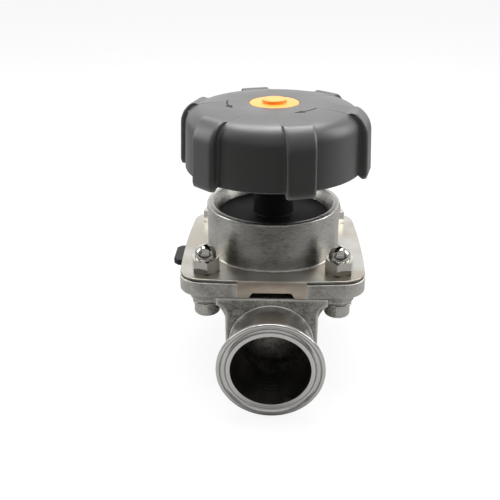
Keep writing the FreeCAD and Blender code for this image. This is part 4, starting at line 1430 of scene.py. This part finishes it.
@dataclass
class Handwheel:
    """The moulded wheel: crowned top, round shoulder, six grip lobes, hollow underside, hub and ribs."""

    lobes: int = 6
    turn: float = math.radians(-14)
    lobe_half: float = 8.8
    lobe_radius: float = 60.2
    rim_radius: float = 55.7
    draft: float = 1.2
    shoulder: float = 11.5
    lobe_shoulder: float = 15.5
    crown_start: float = 30.0
    crown_edge: float = 46.0
    crown_drop: float = 2.1
    crown_steps: int = 12
    ridge_start: float = 46.0
    ridge_end: float = 50.5
    wall: float = 3.6
    lift: float = 2.2
    lobe_edge: float = 2.0
    lobe_foot: float = 1.0
    low_edge: float = 0.7
    edge_steps: int = 5
    rim_steps: int = 16
    side_steps: int = 8
    shoulder_steps: int = 14
    cap_seat: float = 15.47
    skirt: float = 12.1
    socket: float = 12.16
    hub: float = 16.5
    pocket: float = 13.3
    cap_thick: float = 2.8
    seat_edge: float = 0.3
    pocket_edge: float = 0.4
    hub_edge: float = 0.6
    hub_root: float = 1.2
    fade: float = 1.6
    lower_start: float = 0.1
    lower_rows: tuple[tuple[float, ...], ...] = ((1.0, 1.6, 0.0, 0.96), (0.3, 0.9, 0.3, 0.985))
    lower_flare: float = 1.06
    lobe_lead: float = 0.1
    rib_half: float = 1.5
    rib_drop: float = 13.0
    rib_sink: float = 0.5
    rib_taper: float = 3.0
    rib_foot: float = 0.4
    rib_back: float = 1.5
    rib_under: float = 0.6
    rib_steps: int = 8
    arrow_radius: float = 28.9
    arrow_half: float = 0.6
    arrow_rise: float = 0.12
    arrow_sink: float = 0.25
    arrow_head: float = 12.0
    arrow_barb: float = 3.0
    arrow_flat: float = 0.7
    arrow_least: float = 0.05
    arrow_steps: int = 28
    opening: Flat = (172.0, 212.0)
    closing: Flat = (-30.0, -66.0)
    head_steps: int = 7
    stations: list[Station] = field(default_factory=list)

    @property
    def bend(self) -> float:
        """Radius of the middle of the arc that rounds the rim's shoulder."""
        return self.rim_radius - self.draft - self.shoulder

    def lay_out(self) -> None:
        """Lists the skin's columns once round the wheel."""
        flat = self.lobe_half - self.lobe_edge
        proud = self.lobe_radius - self.rim_radius
        half: list[tuple[float, float, float | None]] = [(flat * step / 3, 1.0, None) for step in range(3)]
        for step in range(self.edge_steps + 1):
            angle = math.pi / 2 * step / self.edge_steps
            half.append((flat + self.lobe_edge * math.sin(angle),
                         1 - self.lobe_edge * (1 - math.cos(angle)) / proud, None))
        for step in range(self.edge_steps + 1):
            angle = math.pi / 2 * step / self.edge_steps
            half.append((self.lobe_half + self.lobe_foot * (1 - math.cos(angle)),
                         self.lobe_foot * (1 - math.sin(angle)) / proud, None))
        half += [(0.0, 0.0, (step + 1) / self.rim_steps) for step in range(self.rim_steps)]
        for lobe in range(self.lobes):
            mirrored = [Station(lobe, -1, *item) for item in reversed(half[1:-1])]
            self.stations += mirrored + [Station(lobe, 1, *item) for item in half]

    def place(self, station: Station, rim: Flat, lobe: Flat, narrow: float) -> Point:
        """Where a column meets a section of the skin.

        Args:
            station: the column.
            rim: radius and height of the section between the lobes.
            lobe: reach and height of the section on a lobe.
            narrow: the lobe's width here, as a share of its outer width.

        Returns:
            The point.
        """
        foot = (self.lobe_half + self.lobe_foot) * narrow
        if station.share is None:
            beside = min(station.beside * narrow, rim[0])
            on_rim = math.sqrt(rim[0] ** 2 - beside ** 2)
            out = on_rim + station.proud * (lobe[0] - on_rim)
            height = rim[1] + eased(station.proud * self.fade) * (lobe[1] - rim[1])
        else:
            start = math.asin(foot / rim[0])
            angle = blend(start, math.pi / self.lobes, station.share)
            out, beside, height = rim[0] * math.cos(angle), rim[0] * math.sin(angle), rim[1]
        beside *= station.side
        heading = self.turn + 2 * math.pi * station.lobe / self.lobes
        return (out * math.cos(heading) - beside * math.sin(heading),
                out * math.sin(heading) + beside * math.cos(heading), height)

    def bend_height(self, top: float) -> float:
        """Height of the middle of the arc that rounds the rim's shoulder."""
        past = self.crown_edge - self.bend
        return top - self.crown_drop - math.sqrt(self.shoulder ** 2 - past ** 2)

    def rim_height(self, radius: float, top: float) -> float:
        """Height of the wheel's skin between the lobes, at a radius."""
        if radius > self.crown_edge:
            return self.bend_height(top) + math.sqrt(self.shoulder ** 2 - (radius - self.bend) ** 2)
        crown = ((self.crown_edge - self.crown_start) ** 2 + self.crown_drop ** 2) / (2 * self.crown_drop)
        return top - crown + math.sqrt(crown ** 2 - (radius - self.crown_start) ** 2)

    def faded(self, radius: float, height: float, top: float) -> float:
        """Height of a lobe's back, which sinks into the wheel's top towards the middle."""
        if radius >= self.ridge_end:
            return height
        share = eased((self.ridge_end - radius) / (self.ridge_end - self.ridge_start))
        return blend(height, self.rim_height(radius, top), share)

    def sections(self, base: float, lobe_base: float, top: float, inset: float) -> list[tuple[Flat, Flat]]:
        """Rim and lobe sections from the lower edge to the flat top, set in by a wall."""
        rows: list[tuple[Flat, Flat]] = []
        bend, bend_up = self.bend, self.bend_height(top)
        lobe_bend = self.lobe_radius - self.draft - self.lobe_shoulder
        lobe_up = top - self.lobe_shoulder
        for step in range(self.side_steps):
            share = step / self.side_steps
            low_lobe = base + self.low_edge if not inset else lobe_base + self.low_edge
            rows.append(((self.rim_radius - inset - self.draft * share,
                          blend(base + self.low_edge + self.lower_start, bend_up, share)),
                         (self.lobe_radius - inset - self.draft * share,
                          blend(low_lobe, lobe_up, share))))
        full = math.pi / 2 if inset else math.acos((self.crown_edge - bend) / self.shoulder)
        full_lobe = math.pi / 2 if inset else math.acos((self.crown_edge - lobe_bend) / self.lobe_shoulder)
        for step in range(self.shoulder_steps + 1):
            share = step / self.shoulder_steps
            rim_angle, lobe_angle = full * share, full_lobe * share
            rim_reach, lobe_reach = self.shoulder - inset, self.lobe_shoulder - inset
            lobe_out = lobe_bend + lobe_reach * math.cos(lobe_angle)
            lobe_height = lobe_up + lobe_reach * math.sin(lobe_angle)
            if not inset:
                lobe_height = self.faded(lobe_out, lobe_height, top)
            rim = (bend + rim_reach * math.cos(rim_angle), bend_up + rim_reach * math.sin(rim_angle))
            rows.append((rim, (lobe_out, lobe_height)))
        if not inset:
            for step in range(1, self.crown_steps + 1):
                share = step / self.crown_steps
                radius = blend(self.crown_edge, self.crown_start, share)
                height = self.rim_height(radius, top)
                rows.append(((radius, height), (radius, height)))
        return rows

    def skin(self) -> bpy.types.Object:
        """The wheel's closed skin, outside, hub and underside in one."""
        low, high = span("handwheel")
        (_, _, insert_low), (_, _, insert_high) = span("hub_insert")
        cap_low = high.z - self.cap_thick
        base, lobe_base, top = low.z + self.lift, low.z, high.z
        edge = self.low_edge
        core = (self.lobe_half - self.wall) / self.lobe_half

        def loop(rim: Flat, lobe: Flat, narrow: float) -> list[Point]:
            """One section all round the wheel."""
            return [self.place(station, rim, lobe, narrow) for station in self.stations]

        outer = self.sections(base, lobe_base, top, 0.0)
        inner = self.sections(base, lobe_base, top, self.wall)
        loops = [loop((self.rim_radius - rim_in * edge, base + up * edge),
                      (self.lobe_radius - lobe_in * edge, lobe_base + up * edge), narrow)
                 for rim_in, lobe_in, up, narrow in self.lower_rows]
        loops.append(loop((self.rim_radius, base + edge), (self.lobe_radius - self.lobe_lead, base), 1.0))
        loops += [loop(rim, lobe, 1.0) for rim, lobe in outer]
        flat_edge = loops[-1]
        inner_edge = loop(*inner[-1], core)

        def circle(like: list[Point], radius: float, height: float) -> list[Point]:
            """A circle whose points match a section's."""
            return at_height(circle_like([(x, y) for x, y, _ in like], radius), height)

        hub_profile = rounded([
            (self.crown_start, top),
            (self.cap_seat, top, self.seat_edge),
            (self.cap_seat, cap_low),
            (self.skirt, cap_low),
            (self.skirt, insert_high),
            (self.socket, insert_high),
            (self.socket, insert_low),
            (self.pocket, insert_low),
            (self.pocket, base, self.pocket_edge),
            (self.hub, base, self.hub_edge),
            (self.hub, top - self.wall, self.hub_root),
            (self.crown_start, top - self.wall),
        ], closed=False, steps=4)
        for radius, height in hub_profile[1:-1]:
            like = flat_edge if height > insert_low - 1 and radius < self.hub else inner_edge
            loops.append(circle(like, radius, height))
        loops += [loop(rim, lobe, core) for rim, lobe in reversed(inner)]
        inward = self.wall - edge
        loops.append(loop((self.rim_radius - inward, base), (self.lobe_radius - inward, lobe_base),
                          core * self.lower_flare))
        return solid("handwheel_moulding", loops, closed=True)

    def rib(self) -> bpy.types.Object:
        """One stiffening rib under the top, from the hub to the shoulder."""
        high = span("handwheel")[1].z
        floor = high - self.wall - self.rib_drop
        root = self.hub - self.rib_sink
        bend, bend_up, reach = self.bend, self.bend_height(high), self.shoulder - self.wall / 2
        outline: list[Flat] = [(root, floor), (bend - self.rib_taper, floor), (bend, floor + self.rib_foot),
                               (bend + reach - self.rib_back, bend_up - self.rib_under)]
        for step in range(self.rib_steps + 1):
            angle = math.pi / 2 * step / self.rib_steps
            outline.append((bend + reach * math.cos(angle), bend_up + reach * math.sin(angle)))
        outline.append((root, high - self.wall / 2))
        faces = (-self.rib_half, self.rib_half)
        return solid("handwheel_ribs", [[(x, face, z) for x, z in outline] for face in faces])

    def arrow(self, name: str, start: float, end: float) -> bpy.types.Object:
        """A raised curved arrow on the wheel's top.

        Args:
            name: the piece's name.
            start: heading of the tail in degrees.
            end: heading of the head's point in degrees.

        Returns:
            The piece.
        """
        top = span("handwheel")[1].z
        barb, least = self.arrow_barb, self.arrow_least
        way = 1 if end > start else -1
        shaft_end = end - way * self.arrow_head

        def across(angle: float, width: float) -> list[Point]:
            """The arrow's section at a heading in degrees."""
            turned_by = math.radians(angle)
            flat = width * self.arrow_flat
            low, high = top - self.arrow_sink, top + self.arrow_rise
            found: list[Point] = []
            for offset, height in ((-width, low), (-flat, high), (flat, high), (width, low)):
                radius = self.arrow_radius + offset
                found.append((radius * math.cos(turned_by), radius * math.sin(turned_by), height))
            return found

        rows = [across(blend(start, shaft_end, step / self.arrow_steps), self.arrow_half)
                for step in range(self.arrow_steps + 1)]
        rows.append(across(shaft_end + way * least, barb))
        for step in range(1, self.head_steps + 1):
            share = step / self.head_steps
            rows.append(across(blend(shaft_end, end, share), max(barb * (1 - share), least)))
        return solid(name, rows)

    def build(self, plastic: bpy.types.Material, ink: bpy.types.Material) -> None:
        """Makes and dresses the wheel."""
        self.lay_out()
        skin = self.skin()
        ribs = RingCopies(plastic).spread(self.rib(), Count=self.lobes, Start=self.turn)
        for made, finish in ((skin, plastic), (ribs, plastic),
                             (self.arrow("opening_arrow", *self.opening), ink),
                             (self.arrow("closing_arrow", *self.closing), ink)):
            settle(made, finish, Rides.WHEEL, "wheel_moulding", "handwheel")


@dataclass
class IndicatorCap:
    """The orange cap with its raised round button."""

    radius: float = 15.27
    edge: float = 0.5
    skirt: float = 11.9
    skirt_wall: float = 1.3
    thick: float = 2.8
    boss: float = 7.5
    boss_edge: float = 0.5
    foot: float = 0.4
    low_edge: float = 0.2
    skirt_edge: float = 0.3

    def build(self, orange: bpy.types.Material) -> None:
        """Makes and dresses the cap."""
        low, high = span("indicator_cap")
        face = span("handwheel")[1].z
        seat = face - self.thick
        profile = rounded([
            (0.0, seat),
            (self.skirt - self.skirt_wall, seat),
            (self.skirt - self.skirt_wall, low.z, self.low_edge),
            (self.skirt, low.z, self.skirt_edge),
            (self.skirt, seat),
            (self.radius, seat, self.low_edge),
            (self.radius, face, self.edge),
            (self.boss, face, self.foot),
            (self.boss, high.z, self.boss_edge),
            (0.0, high.z),
        ], closed=False, steps=6)
        cap = lathed("orange_cap", profile, closed=False)
        settle(cap, orange, Rides.WHEEL, "orange_moulding", "indicator_cap")


# Studio


@dataclass
class Studio:
    """A pale floor, soft light and the photograph's view."""

    eye: Point = (3.088, -415.198, 234.304)
    ahead: Point = (-0.04008132, 0.90250638, -0.42880732)
    up: Point = (-0.01373139, 0.42861414, 0.90338329)
    lens: float = 49.27
    floor_half: float = 4.0
    table_start: float = -0.17
    table_end: float = -0.29
    table_tone: float = 0.36
    dark_room: float = 0.04
    seen_tone: float = 0.10
    seen_glow: float = 0.88
    surround: float = 1.55
    sensor: float = 36.0
    aim: float = 0.05
    levels: tuple[Flat, ...] = ((0.0, 0.05), (0.22, 0.08), (0.44, 0.36), (0.68, 0.40), (0.94, 1.0))
    lamps: tuple[tuple[str, Point, Flat, float], ...] = (
        ("top_box", (0.0, 0.25, 1.1), (1.0, 0.6), 17.5),
        ("front_box", (0.1, -0.85, 1.0), (1.8, 0.9), 2.4),
        ("low_box", (0.0, -1.2, 0.42), (2.4, 0.8), 2.4),
        ("left_box", (-0.9, 0.1, 0.5), (0.3, 0.6), 3.0),
        ("right_box", (0.9, 0.1, 0.5), (0.3, 0.6), 4.0),
    )

    def camera(self) -> None:
        """Places the camera at the photograph's viewing angle."""
        forward, upward = Vector(self.ahead), Vector(self.up)
        right = forward.cross(upward).normalized()
        upward = right.cross(forward)
        turn = Matrix((right, upward, -forward)).transposed()
        data = bpy.data.cameras.new("camera")
        data.lens = self.lens
        data.sensor_width = self.sensor
        data.clip_start = 0.01
        data.clip_end = 50.0
        made = bpy.data.objects.new("camera", data)
        made.matrix_world = Matrix.Translation(Vector(self.eye) * MM + STEM) @ turn.to_4x4()
        bpy.context.scene.collection.objects.link(made)
        bpy.context.scene.camera = made

    def floor(self) -> None:
        """A pale floor that shows white to the camera and keeps the object's shadow."""
        low = CAD_BOX[0].z
        reach = self.floor_half
        mesh = bpy.data.meshes.new("floor")
        corners = [(-reach, -reach, low), (reach, -reach, low), (reach, reach, low), (-reach, reach, low)]
        mesh.from_pydata(corners, [], [(0, 1, 2, 3)])
        made = bpy.data.objects.new("floor", mesh)
        bpy.context.scene.collection.objects.link(made)
        nodes = Finish("pale_floor")
        nodes.tree.nodes.remove(nodes.surface)
        output = nodes.tree.nodes["Material Output"]
        path = nodes.add("ShaderNodeLightPath")
        parts = nodes.add("ShaderNodeSeparateXYZ", {0: nodes.place})
        table = nodes.add("ShaderNodeMapRange", {
            "Value": (parts, "Y"),
            "From Min": STEM.y + self.table_end, "From Max": STEM.y + self.table_start,
            "To Min": self.dark_room, "To Max": self.table_tone}, interpolation_type="SMOOTHSTEP")
        tone = nodes.add("ShaderNodeCombineColor", {socket: (table, "Result") for socket in range(3)})
        plain = nodes.add("ShaderNodeBsdfDiffuse", {"Color": (tone, "Color")})
        pale = nodes.add("ShaderNodeBsdfDiffuse", {"Color": (*[self.seen_tone] * 3, 1.0)})
        glow = nodes.add("ShaderNodeEmission", {"Color": WHITE, "Strength": self.seen_glow})
        white = nodes.add("ShaderNodeAddShader", {0: (pale, 0), 1: (glow, 0)})
        mix = nodes.add("ShaderNodeMixShader", {0: (path, "Is Camera Ray"), 1: (plain, 0), 2: (white, 0)})
        nodes.feed(output, {"Surface": (mix, 0)})
        mesh.materials.append(nodes.material)

    def world(self) -> None:
        """A white surround for the eye; in reflections it is bright behind and dark towards the camera."""
        world = bpy.data.worlds.new("studio")
        bpy.context.scene.world = world
        world.use_nodes = True
        nodes = Nodes(world.node_tree)
        nodes.tree.nodes.clear()
        place = nodes.add("ShaderNodeTexCoord")
        apart = nodes.add("ShaderNodeSeparateXYZ", {0: (place, "Generated")})
        across = nodes.add("ShaderNodeMapRange", {"Value": (apart, "Y"), "From Min": -1.0})
        shade = nodes.add("ShaderNodeValToRGB", {"Fac": (across, "Result")})
        ramp = shade.color_ramp
        ramp.interpolation = "EASE"
        while len(ramp.elements) < len(self.levels):
            ramp.elements.new(0.5)
        for element, (position, level) in zip(ramp.elements, self.levels):
            element.position = position
            element.color = (level, level, level, 1.0)
        seen = (nodes.add("ShaderNodeLightPath"), "Is Camera Ray")
        pick = nodes.add("ShaderNodeMix", {"Factor": seen, "A": (shade, "Color"), "B": WHITE},
                         data_type="RGBA")
        glow = nodes.add("ShaderNodeMix", {"Factor": seen, "A": self.surround, "B": 1.0})
        ground = nodes.add("ShaderNodeBackground", {"Color": (pick, "Result"), "Strength": (glow, "Result")})
        nodes.add("ShaderNodeOutputWorld", {"Surface": (ground, "Background")})

    def lamp(self, name: str, place: Point, size: tuple[float, float], power: float) -> None:
        """A soft box that looks at the valve.

        Args:
            name: the lamp's name.
            place: where it stands, in metres from the bore's middle.
            size: its width and height in metres.
            power: its power in watts.
        """
        data = bpy.data.lights.new(name, "AREA")
        data.shape = "RECTANGLE"
        data.size, data.size_y = size
        data.energy = power
        made = bpy.data.objects.new(name, data)
        spot = STEM + Vector(place)
        sight = STEM + Vector((0.0, 0.0, self.aim)) - spot
        turn = sight.to_track_quat("-Z", "Y").to_matrix()
        made.matrix_world = Matrix.Translation(spot) @ turn.to_4x4()
        bpy.context.scene.collection.objects.link(made)

    def build(self) -> None:
        """Sets up the view and the light."""
        self.camera()
        self.floor()
        self.world()
        for name, place, size, power in self.lamps:
            self.lamp(name, place, size, power)
        bpy.context.scene.view_settings.view_transform = "Standard"


def dress_nodes(finishes: dict[str, bpy.types.Material]) -> None:
    """Gives each node that keeps its own shape the finish of its real material."""
    for name, material in finishes.items():
        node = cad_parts[name]
        node.data.materials.clear()
        node.data.materials.append(material)


def main() -> None:
    """Builds every sub-assembly, its finishes and the studio."""
    cast = CastStainless().material()
    tube = TurnedStainless("turned_stainless", Axis.BORE).material()
    machined = MilledStainless("machined_stainless").material()
    milled = MilledStainless("milled_pads", colour="#ccc1b3", warm="#bbac99", roughness=0.36).material()
    brushed = BrushedStainless("brushed_cup").material()
    turned_steel = TurnedStainless("spindle_stainless", Axis.STEM, roughness=0.25).material()
    polished = BrightStainless("polished_stainless").material()
    bright = BrightStainless("bolt_stainless", colour="#b4b2ad", roughness=0.24).material()
    bronze = TurnedStainless("nut_bronze", Axis.STEM, colour="#b08d57", roughness=0.3).material()
    # The wheel's edge colour is a painted highlight along the lobes' edges.
    wheel = MouldedPlastic("wheel_plastic", "#272726", "#2d2d2b", roughness=0.45, specular=1.0,
                           edge="#8a8a86").material()
    black = MouldedPlastic("sleeve_plastic", "#0b0b0c", "#101011", roughness=0.6, specular=0.2).material()
    rubber = MouldedPlastic("black_rubber", "#161616", "#1e1e1e", roughness=0.62, grain_mm=1.0,
                            specular=0.35).material()
    orange = MouldedPlastic("orange_plastic", "#f28c1e", "#f79a32", roughness=0.38,
                            depth_mm=0.012).material()
    white = MouldedPlastic("white_washer_plastic", "#e4e2dc", "#ecebe6", roughness=0.4).material()

    ValveBody().build(cast, tube)
    Bonnet().build(cast, machined, milled, brushed)
    Bolting().build(polished, bright)
    DiaphragmSkin().build(rubber)
    Stem().build(turned_steel, black)
    Handwheel().build(wheel, black)
    IndicatorCap().build(orange)
    dress_nodes({
        "compressor": cast,
        "diaphragm_stud": bright,
        "retaining_pins": bright,
        "thrust_washer": white,
        "spindle_nut": bronze,
        "nut_seal_ring": rubber,
        "nut_circlip": bright,
        "spindle_wiper": rubber,
        "hub_insert": turned_steel,
        "wheel_washer": bright,
        "wheel_nut": bright,
    })
    Studio().build()


if __name__ == "__main__":
    main()
